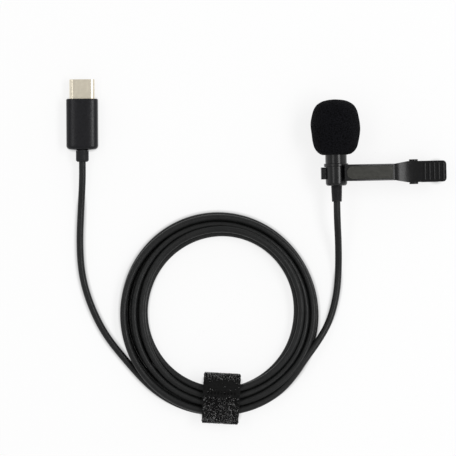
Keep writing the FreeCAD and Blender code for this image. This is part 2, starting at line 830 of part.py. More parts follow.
def biarc(start, leaving, end, arriving):
    """Two arcs that join two points and keep to the unit directions given at them."""
    span = end - start
    both = leaving + arriving
    square = 2 * (leaving.dot(arriving) - 1)
    across = -2 * span.dot(both)
    reach = (-across - math.sqrt(across * across - 4 * square * span.dot(span))) / (2 * square)
    if reach < 0:
        reach = (-across + math.sqrt(across * across - 4 * square * span.dot(span))) / (2 * square)
    first = start + leaving * reach
    second = end - arriving * reach
    join = (first + second) * 0.5
    return [arc_through(start, first, join), arc_through(join, second, end)]


def round_tube(edges, radius):
    """A round bar carried along joined edges, as one unbroken solid."""
    wire = Part.Wire(edges)
    start = edges[0].valueAt(edges[0].FirstParameter)
    along = edges[0].tangentAt(edges[0].FirstParameter)
    section = Part.Wire(Part.Circle(start, along, radius).toShape())
    tube = wire.makePipeShell([section], True, False)
    return tube, wire


def least_gap(wire, radius, turn_length):
    """The least clear distance between one turn of a wound tube and another, measured on points."""
    count = max(200, int(wire.Length / (radius * 0.5)))
    points = wire.discretize(Number=count)
    step = wire.Length / (count - 1)
    skip = int(turn_length * 0.45 / step)
    least = float("inf")
    cell = radius * 4
    cells = {}
    for index, point in enumerate(points):
        key = (int(point.x // cell), int(point.y // cell), int(point.z // cell))
        cells.setdefault(key, []).append(index)
    for index, point in enumerate(points):
        base = (int(point.x // cell), int(point.y // cell), int(point.z // cell))
        for dx in (-1, 0, 1):
            for dy in (-1, 0, 1):
                for dz in (-1, 0, 1):
                    for other in cells.get((base[0] + dx, base[1] + dy, base[2] + dz), ()):
                        if other > index + skip:
                            least = min(least, point.distanceToPoint(points[other]))
    return least - 2 * radius


def routed(points):
    """Straight runs between points, joined by tangent arcs as large as the runs allow."""
    edges = []
    radii = []
    here = points[0]
    for index in range(1, len(points) - 1):
        before = points[index] - points[index - 1]
        after = points[index + 1] - points[index]
        turn = before.getAngle(after)
        cut = ARC_SHARE * min(before.Length, after.Length)
        radii.append(cut / math.tan(turn / 2))
        start = points[index] - before.normalize() * cut
        end = points[index] + after.normalize() * cut
        edges.append(Part.LineSegment(here, start).toShape())
        edges.append(arc_through(start, points[index], end))
        here = end
    edges.append(Part.LineSegment(here, points[-1]).toShape())
    return edges, radii


def named_solid(name, shape):
    feature = doc.addObject("Part::Feature", name)
    feature.Label = name
    feature.Shape = shape
    return feature


def make_spring():
    """Torsion spring: turns round the pin between two straight legs that push the pads apart."""
    radius = size("spring_radius")
    wire_radius = size("spring_wire") / 2
    pitch = size("spring_pitch")
    pivot = Vector(size("pivot_reach"), 0, size("pivot_height"))
    reach = size("spring_leg_reach")
    front_slope = size("pad_rise / ( pad_end - pad_heel - pad_start )")
    front_under = size("neck_bottom") + (pivot.x + reach - size("pad_start")) * front_slope
    rear_over = size(REAR_TOP_LOW) - (pivot.x + reach - size(REAR_PAD_START)) * size(REAR_SLOPE)
    clear = wire_radius + size("snug_fit") * 3
    upper = Vector(reach, 0, front_under - clear / math.cos(front_slope) - pivot.z)
    lower = Vector(reach, 0, rear_over + clear / math.cos(size(REAR_SLOPE)) - pivot.z)
    rise = math.atan2(upper.z, upper.x) - math.asin(radius / upper.Length)
    fall = math.atan2(lower.z, lower.x) + math.asin(radius / lower.Length)
    start_angle = math.pi / 2 + rise
    turned_by = (3 * math.pi / 2 + fall) - start_angle + 2 * math.pi * SPRING_FULL_TURNS
    climb = pitch / (2 * math.pi)
    half_width = climb * turned_by / 2

    def place(angle):
        across = -half_width + climb * (angle - start_angle)
        return pivot + Vector(radius * math.cos(angle), across, radius * math.sin(angle))

    def heading(angle, slope):
        return Vector(-radius * math.sin(angle), slope, radius * math.cos(angle)).normalize()

    edges = []
    first = place(start_angle)
    leg_tip = pivot + upper
    leg_tip.y = first.y
    edges.append(Part.LineSegment(leg_tip, first).toShape())
    for index in range(SPRING_ARCS):
        near = start_angle + turned_by * index / SPRING_ARCS
        far = start_angle + turned_by * (index + 1) / SPRING_ARCS
        near_slope = 0.0 if index == 0 else climb
        far_slope = 0.0 if index == SPRING_ARCS - 1 else climb
        edges += biarc(place(near), heading(near, near_slope), place(far), heading(far, far_slope))
    last = place(start_angle + turned_by)
    leg_tip = pivot + lower
    leg_tip.y = last.y
    edges.append(Part.LineSegment(last, leg_tip).toShape())
    shape, wire = round_tube(edges, wire_radius)
    print("torsion_spring least gap between turns %.2f" % least_gap(wire, wire_radius, radius * 6.3))
    return named_solid("torsion_spring", shape)


# Plug

def make_plug_housing():
    """A flattened moulding, hollow for the board, with a slot for the shell and a hole for the cord."""
    body = new_body("plug_housing")
    block = new_sketch(body, "BlockOutline", "XZ_Plane")
    outline(block, (
        ("0 - housing_width / 2", "0 - housing_height / 2"),
        ("housing_width / 2", "0 - housing_height / 2"),
        ("housing_width / 2", "housing_height / 2"),
        ("0 - housing_width / 2", "housing_height / 2"),
    ))
    one_sided(body, "Block", block, "housing_length")
    rounded(body, "LongEdges", "Fillet", "housing_rounding", lambda edge: (
        edge.BoundBox.YLength > size("housing_length") * 0.9
    ))
    rear = -size("housing_length")
    rounded(body, "FrontEdges", "Fillet", "housing_edge", lambda edge: (
        edge.BoundBox.YLength < SAME and abs(edge.BoundBox.YMin) < SAME
    ))
    rounded(body, "RearEdges", "Fillet", "housing_rear_edge", lambda edge: (
        edge.BoundBox.YLength < SAME and abs(edge.BoundBox.YMin - rear) < SAME
    ))
    cavity = new_sketch(body, "CavityOutline", "YZ_Plane")
    inner_half = "housing_height / 2 - housing_wall"
    outline(cavity, (
        ("0 - housing_length + housing_rear_wall", "0 - ( " + inner_half + " )"),
        ("0 - housing_front_wall", "0 - ( " + inner_half + " )"),
        ("0 - housing_front_wall", inner_half),
        ("0 - housing_length + housing_rear_wall", inner_half),
    ))
    slab(body, "Cavity", cavity, "housing_width - housing_wall * 2", cut=True)
    slot = new_sketch(body, "ShellSlotOutline", "XZ_Plane")
    stadium(slot, "shell_width + snug_fit * 2", "shell_height + snug_fit * 2")
    slab(body, "ShellSlot", slot, "( housing_front_wall + housing_wall ) * 2", cut=True)
    hole = doc.addObject("Part::Cylinder", "CordHole")
    hole.setExpression("Radius", bind("boot_radius - boot_chamfer + snug_fit"))
    hole.setExpression("Height", bind("housing_rear_wall * 3"))
    hole.Placement.Rotation = FreeCAD.Rotation(X_AXIS, 90)
    hole.setExpression("Placement.Base.y", bind("0 - housing_length + housing_rear_wall * 1.5"))
    cut = doc.addObject("Part::Cut", "HousingWithHole")
    cut.Base = body
    cut.Tool = hole
    body.Label = "HousingBody"
    cut.Label = "plug_housing"
    doc.recompute()
    return cut


def make_usb_shell():
    body = new_body("usb_shell")
    section = new_sketch(body, "ShellOutline", "XZ_Plane")
    stadium(section, "shell_width", "shell_height")
    slab(body, "Shell", section, "shell_reach * 2")
    rounded(body, "MouthEdge", "Fillet", "shell_wall * 0.5", lambda edge: (
        edge.BoundBox.YLength < SAME and edge.BoundBox.YMin > size("shell_reach") - SAME
    ))
    root = new_sketch(body, "RootOutline", "XY_Plane")
    outline(root, (
        ("0 - shell_width", "0 - shell_reach * 2"),
        ("shell_width", "0 - shell_reach * 2"),
        ("shell_width", "0 - shell_root"),
        ("0 - shell_width", "0 - shell_root"),
    ))
    slab(body, "Root", root, "shell_height * 2", cut=True)
    mouth = new_sketch(body, "MouthOutline", "XZ_Plane")
    stadium(mouth, "shell_width - shell_wall * 2", "shell_height - shell_wall * 2")
    slab(body, "Mouth", mouth, "shell_reach * 4", cut=True)
    return body


INSULATOR_FRONT = "shell_reach - snug_fit * 5"
CONTACT_HEIGHT = "tongue_slot_height / 2 + contact_thickness / 2"


def make_insulator():
    """The moulding inside the shell, open in the middle for the socket's tongue, grooved for contacts."""
    body = new_body("contact_insulator")
    section = new_sketch(body, "InsulatorOutline", "XZ_Plane")
    inside = " - shell_wall * 2 - snug_fit * 2"
    stadium(section, "shell_width" + inside, "shell_height" + inside)
    slab(body, "Insulator", section, "( " + INSULATOR_FRONT + " ) * 2")
    root = new_sketch(body, "RootOutline", "XY_Plane")
    outline(root, (
        ("0 - shell_width", "0 - shell_reach * 2"),
        ("shell_width", "0 - shell_reach * 2"),
        ("shell_width", "0 - shell_root"),
        ("0 - shell_width", "0 - shell_root"),
    ))
    slab(body, "Root", root, "shell_height * 2", cut=True)
    slot = new_sketch(body, "TongueSlotOutline", "XY_Plane")
    outline(slot, (
        ("0 - tongue_slot_width / 2", "shell_reach - tongue_slot_depth"),
        ("tongue_slot_width / 2", "shell_reach - tongue_slot_depth"),
        ("tongue_slot_width / 2", "shell_reach * 2"),
        ("0 - tongue_slot_width / 2", "shell_reach * 2"),
    ))
    slab(body, "TongueSlot", slot, "tongue_slot_height", cut=True)
    grooves = new_sketch(body, "GroovesOutline", "XY_Plane")
    back = "0 - shell_root - groove_run"
    for index in range(CONTACTS_PER_ROW):
        middle = "contact_spacing * %.1f" % (index - (CONTACTS_PER_ROW - 1) / 2)
        side = "( contact_width / 2 + snug_fit )"
        outline(grooves, (
            (middle + " - " + side, back),
            (middle + " + " + side, back),
            (middle + " + " + side, "shell_reach - contact_setback + snug_fit"),
            (middle + " - " + side, "shell_reach - contact_setback + snug_fit"),
        ))
    slab(body, "Grooves", grooves, "tongue_slot_height + contact_thickness * 2 + snug_fit * 2", cut=True)
    return body


def make_contacts():
    """Two facing rows of flat contacts, each running back onto the board."""
    blades = []
    for side in (-1, 1):
        for index in range(CONTACTS_PER_ROW):
            blade = doc.addObject("Part::Box", "Contact")
            blade.setExpression("Length", bind("contact_width"))
            blade.setExpression("Width", bind("contact_length + shell_root + contact_tail"))
            blade.setExpression("Height", bind("contact_thickness"))
            place = index - (CONTACTS_PER_ROW - 1) / 2
            across = "contact_spacing * %.1f - contact_width / 2" % place
            blade.setExpression("Placement.Base.x", bind(across))
            blade.setExpression("Placement.Base.y", bind(
                "shell_reach - contact_setback - contact_length - shell_root - contact_tail"
            ))
            blade.setExpression("Placement.Base.z", bind(
                "( " + CONTACT_HEIGHT + " + snug_fit / 2 ) * %d - contact_thickness / 2" % side
            ))
            blades.append(blade)
    return grouped("plug_contacts", blades)


def make_latches():
    """Two side springs that catch in the socket's tongue, one at each end of the slot."""
    springs = []
    for side in (-1, 1):
        spring = doc.addObject("Part::Box", "Latch")
        spring.setExpression("Length", bind("latch_thickness"))
        spring.setExpression("Width", bind("latch_length"))
        spring.setExpression("Height", bind("latch_width"))
        spring.setExpression("Placement.Base.x", bind(
            "( tongue_slot_width / 2 - snug_fit - latch_thickness / 2 ) * %d - latch_thickness / 2" % side
        ))
        spring.setExpression("Placement.Base.y", bind("shell_reach - tongue_slot_depth + snug_fit"))
        spring.setExpression("Placement.Base.z", bind("0 - latch_width / 2"))
        springs.append(spring)
    return grouped("side_latches", springs)


def make_plug_board():
    board = doc.addObject("Part::Box", "Board")
    board.setExpression("Length", bind("plug_board_width"))
    board.setExpression("Width", bind("plug_board_length"))
    board.setExpression("Height", bind("plug_board_thickness"))
    board.setExpression("Placement.Base.x", bind("0 - plug_board_width / 2"))
    board.setExpression("Placement.Base.y", bind("0 - shell_root - seat_gap - plug_board_length"))
    board.setExpression("Placement.Base.z", bind("0 - plug_board_thickness / 2"))
    return grouped("plug_board", [board])


def make_chip():
    chip = doc.addObject("Part::Box", "Chip")
    chip.setExpression("Length", bind("chip_size"))
    chip.setExpression("Width", bind("chip_size"))
    chip.setExpression("Height", bind("chip_height"))
    chip.setExpression("Placement.Base.x", bind("0 - chip_size / 2"))
    chip.setExpression("Placement.Base.y", bind("0 - shell_root - chip_setback - chip_size"))
    chip.setExpression("Placement.Base.z", bind("plug_board_thickness / 2 + snug_fit"))
    return grouped("converter_chip", [chip])


def make_capacitors():
    """Four small capacitors on the board's other face, under the chip."""
    parts = []
    for column in (-1, 1):
        for line in (0, 1):
            part = doc.addObject("Part::Box", "Capacitor")
            part.setExpression("Length", bind("capacitor_length"))
            part.setExpression("Width", bind("capacitor_width"))
            part.setExpression("Height", bind("capacitor_width"))
            part.setExpression("Placement.Base.x", bind(
                "chip_size / 3 * %d - capacitor_length / 2" % column
            ))
            part.setExpression("Placement.Base.y", bind(
                "0 - shell_root - chip_setback - chip_size / 3 * %d" % (line + 1)
            ))
            part.setExpression("Placement.Base.z", bind(
                "0 - plug_board_thickness / 2 - capacitor_width - snug_fit"
            ))
            parts.append(part)
    return grouped("board_capacitors", parts)


CORD_END_IN_PLUG = "0 - housing_length + housing_rear_wall + boot_flange_length + seat_gap + cable_stub"
BOARD_BACK = "0 - shell_root - seat_gap - plug_board_length"


def make_plug_wires():
    """Two cores from the end of the cord onto the board's faces."""
    cores = []
    for side in (-1, 1):
        core = doc.addObject("Part::Cylinder", "PlugCore")
        core.setExpression("Radius", bind("core_radius"))
        core.setExpression("Height", bind(
            BOARD_BACK + " + contact_tail - ( " + CORD_END_IN_PLUG + " + seat_gap )"
        ))
        core.Placement.Rotation = FreeCAD.Rotation(X_AXIS, -90)
        core.setExpression("Placement.Base.y", bind(CORD_END_IN_PLUG + " + seat_gap"))
        core.setExpression("Placement.Base.z", bind(
            "( plug_board_thickness / 2 + core_radius + snug_fit ) * %d" % side
        ))
        cores.append(core)
    return grouped("plug_wires", cores)


def make_plug_relief():
    body = new_body("plug_strain_relief")
    bore = "cable_radius + snug_fit"
    back = "0 - housing_length"
    neck = "boot_radius - boot_chamfer"
    inside = "0 - housing_length + housing_rear_wall + seat_gap"
    turned(body, "Boot", (
        (bore, back + " - boot_reach"),
        ("boot_radius - boot_chamfer", back + " - boot_reach"),
        ("boot_radius", back + " - boot_reach + boot_chamfer"),
        ("boot_radius", back + " - snug_fit"),
        (neck, back + " - snug_fit"),
        (neck, inside),
        ("boot_flange_radius", inside),
        ("boot_flange_radius", inside + " + boot_flange_length"),
        (bore, inside + " + boot_flange_length"),
    ))
    return body


# Cord and tie

QUARTER = math.pi / 2


def coil_frame():
    """Where the coil lies: level on the far side, and raised on the tie's thickness at the near side."""
    cable = size("cable_radius")
    outer = size("coil_start_radius") + cable
    under = size("tie_thickness + tie_room + floor_gap")
    tilt = math.asin(under / (outer + size("tie_middle - tie_span / 2")))
    base = Vector(-size("coil_across"), -size("coil_along"), outer * math.sin(tilt) + size("floor_gap"))
    return FreeCAD.Placement(base, FreeCAD.Rotation(X_AXIS, -math.degrees(tilt)))


def coil_point(quarter):
    """A point of the coil after so many quarter turns: inwards below, up a layer, outwards above."""
    middle = COIL_QUARTER_TURNS_IN + COIL_QUARTER_TURNS_UP / 2
    per_quarter = size("coil_pitch") / 4
    radius = size("coil_start_radius") - per_quarter * middle + per_quarter * abs(quarter - middle)
    angle = math.radians(COIL_START_ANGLE) + QUARTER * quarter
    climbed = min(max(quarter - COIL_QUARTER_TURNS_IN, 0) / COIL_QUARTER_TURNS_UP, 1)
    height = size("cable_radius") + size("coil_layer") * climbed
    return Vector(radius * math.cos(angle), radius * math.sin(angle), height)


def coil_heading(quarter):
    middle = COIL_QUARTER_TURNS_IN + COIL_QUARTER_TURNS_UP / 2
    per_radian = size("coil_pitch") / (2 * math.pi)
    inward = 0.0 if quarter == middle else math.copysign(per_radian, quarter - middle)
    point = coil_point(quarter)
    radius = math.hypot(point.x, point.y)
    outward = Vector(point.x / radius, point.y / radius, 0)
    around = Vector(-outward.y, outward.x, 0)
    climb = size("coil_layer") / QUARTER if quarter == middle else 0.0
    return (around * radius + outward * inward + Vector(0, 0, climb)).normalize()


def make_coil():
    """The wound cord: two layers of steady turns as one tube, straight for a diameter at its ends."""
    cable = size("cable_radius")
    first = coil_point(0)
    last = coil_point(COIL_QUARTER_TURNS)
    lead_in = first - coil_heading(0) * (cable * 2)
    lead_out = last + coil_heading(COIL_QUARTER_TURNS) * (cable * 2)
    edges = [Part.LineSegment(lead_in, first).toShape()]
    for quarter in range(COIL_QUARTER_TURNS):
        edges += biarc(
            coil_point(quarter), coil_heading(quarter), coil_point(quarter + 1), coil_heading(quarter + 1)
        )
    edges.append(Part.LineSegment(last, lead_out).toShape())
    shape, wire = round_tube(edges, cable)
    turn_length = 2 * math.pi * (size("coil_start_radius") - size("coil_pitch") * COIL_QUARTER_TURNS_IN / 4)
    print("cable_coil length %.1f, least gap between turns %.2f" % (
        wire.Length, least_gap(wire, cable, turn_length)
    ))
    coil = named_solid("cable_coil", shape)
    coil.Placement = coil_frame()
    return coil, lead_in, lead_out


def joined_to_coil(point, away):
    """The coil's end in the frame, and the point one lead run beyond it, in line with its end."""
    frame = coil_frame()
    end = frame.multVec(point)
    return end, end + frame.Rotation.multVec(away) * LEAD_RUN


def make_lead(name, points):
    edges, radii = routed(points)
    radius = size("cable_radius")
    shape, wire = round_tube(edges, radius)
    share = shape.Volume / (math.pi * radius * radius * wire.Length)
    print("%s length %.1f, radii %s, volume to section times length %.4f" % (
        name, wire.Length, " ".join("%.1f" % value for value in radii), share
    ))
    return named_solid(name, shape)


def make_tie():
    """A strap wrapped round the bundle, with its end lapped over the top from the inner side."""
    body = new_body("tie_strap")
    bundle = "cable_radius * 2 + coil_layer"
    low = "0 - tie_room - tie_thickness"
    high = bundle + " + tie_room + tie_thickness"
    near = "0 - tie_middle + tie_span / 2"
    far = "0 - tie_middle - tie_span / 2"
    section = new_sketch(body, "StrapOutline", "YZ_Plane")
    middle = "( " + bundle + " ) / 2"
    bend = "tie_thickness * 1.7"
    outline(section, (
        (far + " + " + bend, low),
        (near + " - " + bend, low, near, middle),
        (near + " - " + bend, high),
        (far + " + " + bend, high, far, middle),
    ))
    inner_low = low + " + tie_thickness"
    inner_high = high + " - tie_thickness"
    outline(section, (
        (far + " + " + bend, inner_low),
        (near + " - " + bend, inner_low, near + " - tie_thickness", middle),
        (near + " - " + bend, inner_high),
        (far + " + " + bend, inner_high, far + " + tie_thickness", middle),
    ))
    slab(body, "Strap", section, "tie_width")
    flap = new_sketch(body, "FlapOutline", "YZ_Plane")
    outline(flap, (
        (near + " - " + bend, high + " - tie_thickness / 2"),
        (near + " - tie_thickness", high + " - tie_thickness / 2"),
        (near + " - " + bend, high + " + tie_thickness * 0.8"),
        (near + " - tie_flap", high + " + tie_thickness * 0.8"),
        (near + " - tie_flap", high + " - tie_thickness / 2"),
    ))
    slab(body, "Flap", flap, "tie_width")
    return body


# Assembly: pieces are made about their own group's origin, then each group is set in its place

microphone = [
    make_barrel(), make_tail_cap(), make_mic_relief(), make_front_grille(), make_dust_cloth(),
    make_capsule_boot(), make_capsule(), make_capsule_board(), make_signal_wires(),
]
windscreen = [make_windscreen()]
clip = [make_front_lever(), make_rear_lever(), make_hinge_pin(), make_spring()]
plug = [
    make_plug_housing(), make_usb_shell(), make_insulator(), make_contacts(), make_latches(),
    make_plug_board(), make_chip(), make_capacitors(), make_plug_wires(), make_plug_relief(),
]
tie = make_tie()
coil, coil_entry, coil_exit = make_coil()

clip_turn = FreeCAD.Rotation(Y_AXIS, size("clip_pitch"))
for piece in clip:
    piece.Placement = FreeCAD.Placement(Vector(0, -size("clip_setback"), 0), clip_turn)
doc.recompute()
own_box = FreeCAD.BoundBox()
for piece in microphone + windscreen + clip:
    own_box.add(piece.Shape.optimalBoundingBox(False))
mic_place = Vector(-own_box.Center.x, -own_box.Center.y, -own_box.ZMin)
for piece in microphone + windscreen:
    piece.Placement = FreeCAD.Placement(mic_place, FreeCAD.Rotation())
for piece in clip:
    piece.Placement = FreeCAD.Placement(mic_place + Vector(0, -size("clip_setback"), 0), clip_turn)

plug_turn = FreeCAD.Rotation(Z_AXIS, PLUG_HEADING)
plug_place = Vector(-size("plug_across"), size("plug_along"), size("housing_height / 2"))
for piece in plug:
    piece.Placement = FreeCAD.Placement(plug_place, plug_turn)

tie_middle = Vector(0, -size("tie_middle"), 0)
tie_turn = FreeCAD.Placement(Vector(), FreeCAD.Rotation(Z_AXIS, size("tie_turn")), tie_middle)
tie.Placement = coil_frame().multiply(tie_turn)

mic_cable_start = mic_place + Vector(0, size(CABLE_END_IN_MIC), 0)
mic_exit = mic_place + Vector(0, -size("barrel_back + cap_length + relief_length"), 0)
coil_end, beyond_end = joined_to_coil(coil_exit, coil_heading(COIL_QUARTER_TURNS))
mic_straight = mic_exit - Y_AXIS * STRAIGHT_RUN
mic_lead = make_lead("cable_mic_lead", [mic_cable_start, mic_straight] + [
    Vector(*point) for point in MIC_ROUTE
] + [beyond_end, coil_end])
plug_cable_start = plug_place + plug_turn.multVec(Vector(0, size(CORD_END_IN_PLUG), 0))
coil_begin, beyond_begin = joined_to_coil(coil_entry, coil_heading(0) * -1)
plug_exit = plug_place + plug_turn.multVec(Vector(0, -size("housing_length + boot_reach"), 0))
plug_straight = plug_exit - plug_turn.multVec(Y_AXIS) * STRAIGHT_RUN
plug_lead = make_lead("cable_plug_lead", [plug_cable_start, plug_straight] + [
    Vector(*point) for point in PLUG_ROUTE
] + [beyond_begin, coil_begin])
doc.recompute()

# Every object has to be sound before a file is written

pieces = microphone + windscreen + clip + plug + [tie, coil, mic_lead, plug_lead]
for thing in doc.Objects:
    if "Invalid" in thing.State or "Error" in thing.State:
        raise RuntimeError("%s did not compute: %s" % (thing.Label, thing.State))
for piece in pieces:
    if piece.Shape.isNull() or not piece.Shape.isValid():
        raise RuntimeError(piece.Label + " has no sound shape")

os.makedirs("parts", exist_ok=True)
for piece in pieces:
    piece.Shape.exportStep(os.path.join("parts", piece.Label + ".step"))

pivot_point = clip[0].Placement.multVec(Vector(size("pivot_reach"), 0, size("pivot_height")))
print("pieces %d" % len(pieces))
print("microphone axis at x %.3f z %.3f, lip front at y %.3f" % (mic_place.x, mic_place.z, mic_place.y))
print("clip pivot at %.3f %.3f %.3f" % tuple(pivot_point))
print("cord leaves the microphone at %.3f %.3f %.3f" % tuple(mic_exit))
print("cord leaves the plug at %.3f %.3f %.3f" % tuple(plug_exit))
print("coil from %.2f %.2f %.2f to %.2f %.2f %.2f" % (tuple(coil_begin) + tuple(coil_end)))
print("beyond the coil's ends %.2f %.2f %.2f and %.2f %.2f %.2f" % (tuple(beyond_begin) + tuple(beyond_end)))
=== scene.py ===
"""Looks of a lavalier microphone with its windscreen, swivel clip, coiled cord, tie and plug.

Lengths are in metres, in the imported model's frame: +Z up from the surface that it lies on, +Y from the
microphone's cord end to its head, and +X from the microphone along its clip.
"""

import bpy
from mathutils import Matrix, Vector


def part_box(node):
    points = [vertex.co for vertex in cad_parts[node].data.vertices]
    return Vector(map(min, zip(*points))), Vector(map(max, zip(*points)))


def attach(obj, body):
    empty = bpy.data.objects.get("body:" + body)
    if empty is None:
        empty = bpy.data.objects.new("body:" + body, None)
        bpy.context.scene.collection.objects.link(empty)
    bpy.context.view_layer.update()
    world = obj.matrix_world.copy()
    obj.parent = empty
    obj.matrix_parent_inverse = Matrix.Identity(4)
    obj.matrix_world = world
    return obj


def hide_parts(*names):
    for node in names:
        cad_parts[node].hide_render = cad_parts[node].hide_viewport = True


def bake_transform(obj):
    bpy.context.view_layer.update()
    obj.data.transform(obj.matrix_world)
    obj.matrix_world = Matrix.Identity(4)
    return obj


bl_info = {
    "name": "Lavalier Microphone",
    "version": (1, 0, 0),
    "blender": (4, 5, 0),
    "location": "3D View > Sidebar > Microphone",
    "description": "Dresses a lavalier microphone, its clip, cord, tie and plug, and sets its stage",
    "category": "Object",
}

import math

import bmesh
import bpy
import numpy as np
from bpy.props import FloatProperty, FloatVectorProperty, IntProperty, PointerProperty
from mathutils import Vector

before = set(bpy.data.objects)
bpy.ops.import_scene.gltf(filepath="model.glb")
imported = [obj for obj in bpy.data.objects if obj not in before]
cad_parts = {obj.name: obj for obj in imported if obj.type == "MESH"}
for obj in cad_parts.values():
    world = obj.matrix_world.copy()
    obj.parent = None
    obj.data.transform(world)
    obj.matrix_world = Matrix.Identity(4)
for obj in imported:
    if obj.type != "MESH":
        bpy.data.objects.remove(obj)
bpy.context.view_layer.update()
MM = 0.001
FULL_TURN = 2 * math.pi
# Metres within which two points of a new piece are one, and two of a CAD piece's mesh
SAME_POINT = 1e-7
SAME_CORNER = 0.002 * MM


def middle(node):
    low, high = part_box(node)
    return (low + high) / 2


def laid(node, heading, across, along, height):
    """Places in the frame, from a piece's own directions: turned by its heading about a CAD node's middle."""
    centre = middle(node)
    cosine, sine = math.cos(heading), math.sin(heading)
    return np.stack([
        centre.x + across * cosine - along * sine, centre.y + across * sine + along * cosine, height,
    ], -1)


def colour_property(name, description, default):
    return FloatVectorProperty(
        name=name, description=description, default=default, subtype="COLOR", min=0.0, max=1.0
    )


def length_property(name, description, default):
    return FloatProperty(name=name, description=description, default=default, unit="LENGTH", precision=5)


def angle_property(name, description, degrees):
    default = math.radians(degrees)
    return FloatProperty(name=name, description=description, default=default, subtype="ANGLE")


# Sizes and colours that a user would change

class StageSettings(bpy.types.PropertyGroup):
    view_height: length_property("Camera height", "Height of the camera over the surface", 1.2)
    view_width: length_property("Width in view", "Length that the picture's width spans", 0.15)
    view_turn: angle_property("Camera turn", "Turn of the picture about the upright axis", -1.2)
    lamp_power: FloatProperty(
        name="Lamp power", description="Power of the right-hand lamp", default=5.6, unit="POWER"
    )
    floor_colour: colour_property("Floor", "Colour of the surface", (0.93, 0.93, 0.93))


class CordSettings(bpy.types.PropertyGroup):
    diameter: length_property("Diameter", "Outer diameter of the cord", 2.25 * MM)
    colour: colour_property("Colour", "Colour of the sheath", (0.0066, 0.0070, 0.0070))
    stations: IntProperty(name="Points in a turn", description="Points of the spline in a turn", default=24)
    inner_radius: length_property("Inner turns", "Mean radius of the innermost turns", 25.41 * MM)
    outer_radius: length_property("Outer turns", "Mean radius of the outermost turns", 31.79 * MM)
    settling: IntProperty(name="Settling steps", description="Steps in which the turns settle", default=500)


class FoamSettings(bpy.types.PropertyGroup):
    cell: length_property("Cell", "Distance between the foam's cells", 0.42 * MM)
    pore_depth: length_property("Pore depth", "Depth of the open cells at the skin", 0.13 * MM)
    colour: colour_property("Colour", "Colour of the foam", (0.0030, 0.0030, 0.0038))


class MicrophoneSettings(bpy.types.PropertyGroup):
    barrel_colour: colour_property("Barrel", "Colour of the barrel's lacquer", (0.0045, 0.0045, 0.005))
    relief_colour: colour_property("Strain relief", "Colour of the soft sleeves", (0.0075, 0.0075, 0.0085))
    grille_colour: colour_property("Grille", "Colour of the front grille", (0.32, 0.32, 0.33))
    ring_pitch: length_property("Ring pitch", "Distance between the sleeve's fine rings", 0.36 * MM)


class ClipSettings(bpy.types.PropertyGroup):
    colour: colour_property("Colour", "Colour of the clip's plastic", (0.0042, 0.0042, 0.0045))
    # The panel's lighter colour is a painted reflection on the lever's black plastic
    panel_painted_reflection_colour: colour_property("Panel", "Colour of the glossy panel", (0.031, 0.031, 0.026))
    edge: length_property("Edge rounding", "Rounding of the levers' edges", 0.16 * MM)
    pitch: angle_property("Pitch", "Slope of the clip towards the surface", 7.2)
    panel_length: length_property("Panel length", "Length of the raised panel", 15.2 * MM)
    panel_width: length_property("Panel width", "Width of the raised panel", 4.1 * MM)
    panel_place: length_property("Panel place", "From the barrel's axis to the panel's middle", 10.3 * MM)
    panel_foot: length_property("Panel foot", "From the barrel's axis up to the panel's foot", 5.25 * MM)


class PlugSettings(bpy.types.PropertyGroup):
    housing_width: length_property("Housing width", "Width of the plug's moulding", 10.4 * MM)
    housing_length: length_property("Housing length", "Length of the plug's moulding", 16.9 * MM)
    fullness: FloatProperty(name="Fullness", description="2 is an oval section, more is squarer", default=3.0)
    heading: angle_property("Heading", "Turn of the plug about the upright axis", -0.9)
    housing_colour: colour_property("Housing", "Colour of the plug's moulding", (0.0056, 0.0055, 0.0072))
    shell_colour: colour_property("Shell", "Colour of the plated shell", (0.80, 0.735, 0.60))


class TieSettings(bpy.types.PropertyGroup):
    width: length_property("Width", "Width of the strap", 12.2 * MM)
    span: length_property("Span", "Distance from the inner bend to the outer bend", 16.3 * MM)
    thickness: length_property("Thickness", "Thickness of one layer of the strap", 1.0 * MM)
    overlap: length_property("Overlap", "Reach of the lapped end from the inner bend", 8.2 * MM)
    heading: angle_property("Heading", "Turn of the strap about the upright axis", -4.2)
    colour: colour_property("Colour", "Colour of the woven strap", (0.0035, 0.0035, 0.0035))
    pile_colour: colour_property("Pile", "Colour of the dark loops", (0.0026, 0.0026, 0.0028))
    # The bright loops' colour is painted light on the same dark nylon as the pile
    fringe_painted_light_colour: colour_property("Fringe", "Colour of the bright loops", (0.26, 0.26, 0.26))
    fibres: IntProperty(name="Fibres", description="Loops that stand on the strap", default=4200)


# Meshes from arrays

def grid_faces(rows, columns, wrap_rows=False, wrap_columns=False):
    """Quads between neighbours of a grid of points, also from last to first where it wraps."""
    first = np.arange(rows if wrap_rows else rows - 1)
    second = np.arange(columns if wrap_columns else columns - 1)
    row, column = np.meshgrid(first, second, indexing="ij")
    next_row = (row + 1) % rows
    next_column = (column + 1) % columns
    corners = (
        row * columns + column, row * columns + next_column,
        next_row * columns + next_column, next_row * columns + column,
    )
    return np.stack(corners, -1).reshape(-1, 4)


def linked(name, data):
    piece = bpy.data.objects.new(name, data)
    bpy.context.scene.collection.objects.link(piece)
    return piece


def new_piece(name, points, faces, smooth=True):
    """An object from points and faces: doubled points merged, empty faces gone, normals outwards."""
    mesh = bpy.data.meshes.new(name)
    mesh.from_pydata(points.reshape(-1, 3).tolist(), [], faces.tolist())
    work = bmesh.new()
    work.from_mesh(mesh)
    bmesh.ops.remove_doubles(work, verts=work.verts, dist=SAME_POINT)
    bmesh.ops.dissolve_degenerate(work, edges=work.edges, dist=SAME_POINT)
    bmesh.ops.recalc_face_normals(work, faces=work.faces)
    work.to_mesh(mesh)
    work.free()
    mesh.shade_smooth() if smooth else mesh.shade_flat()
    return linked(name, mesh)


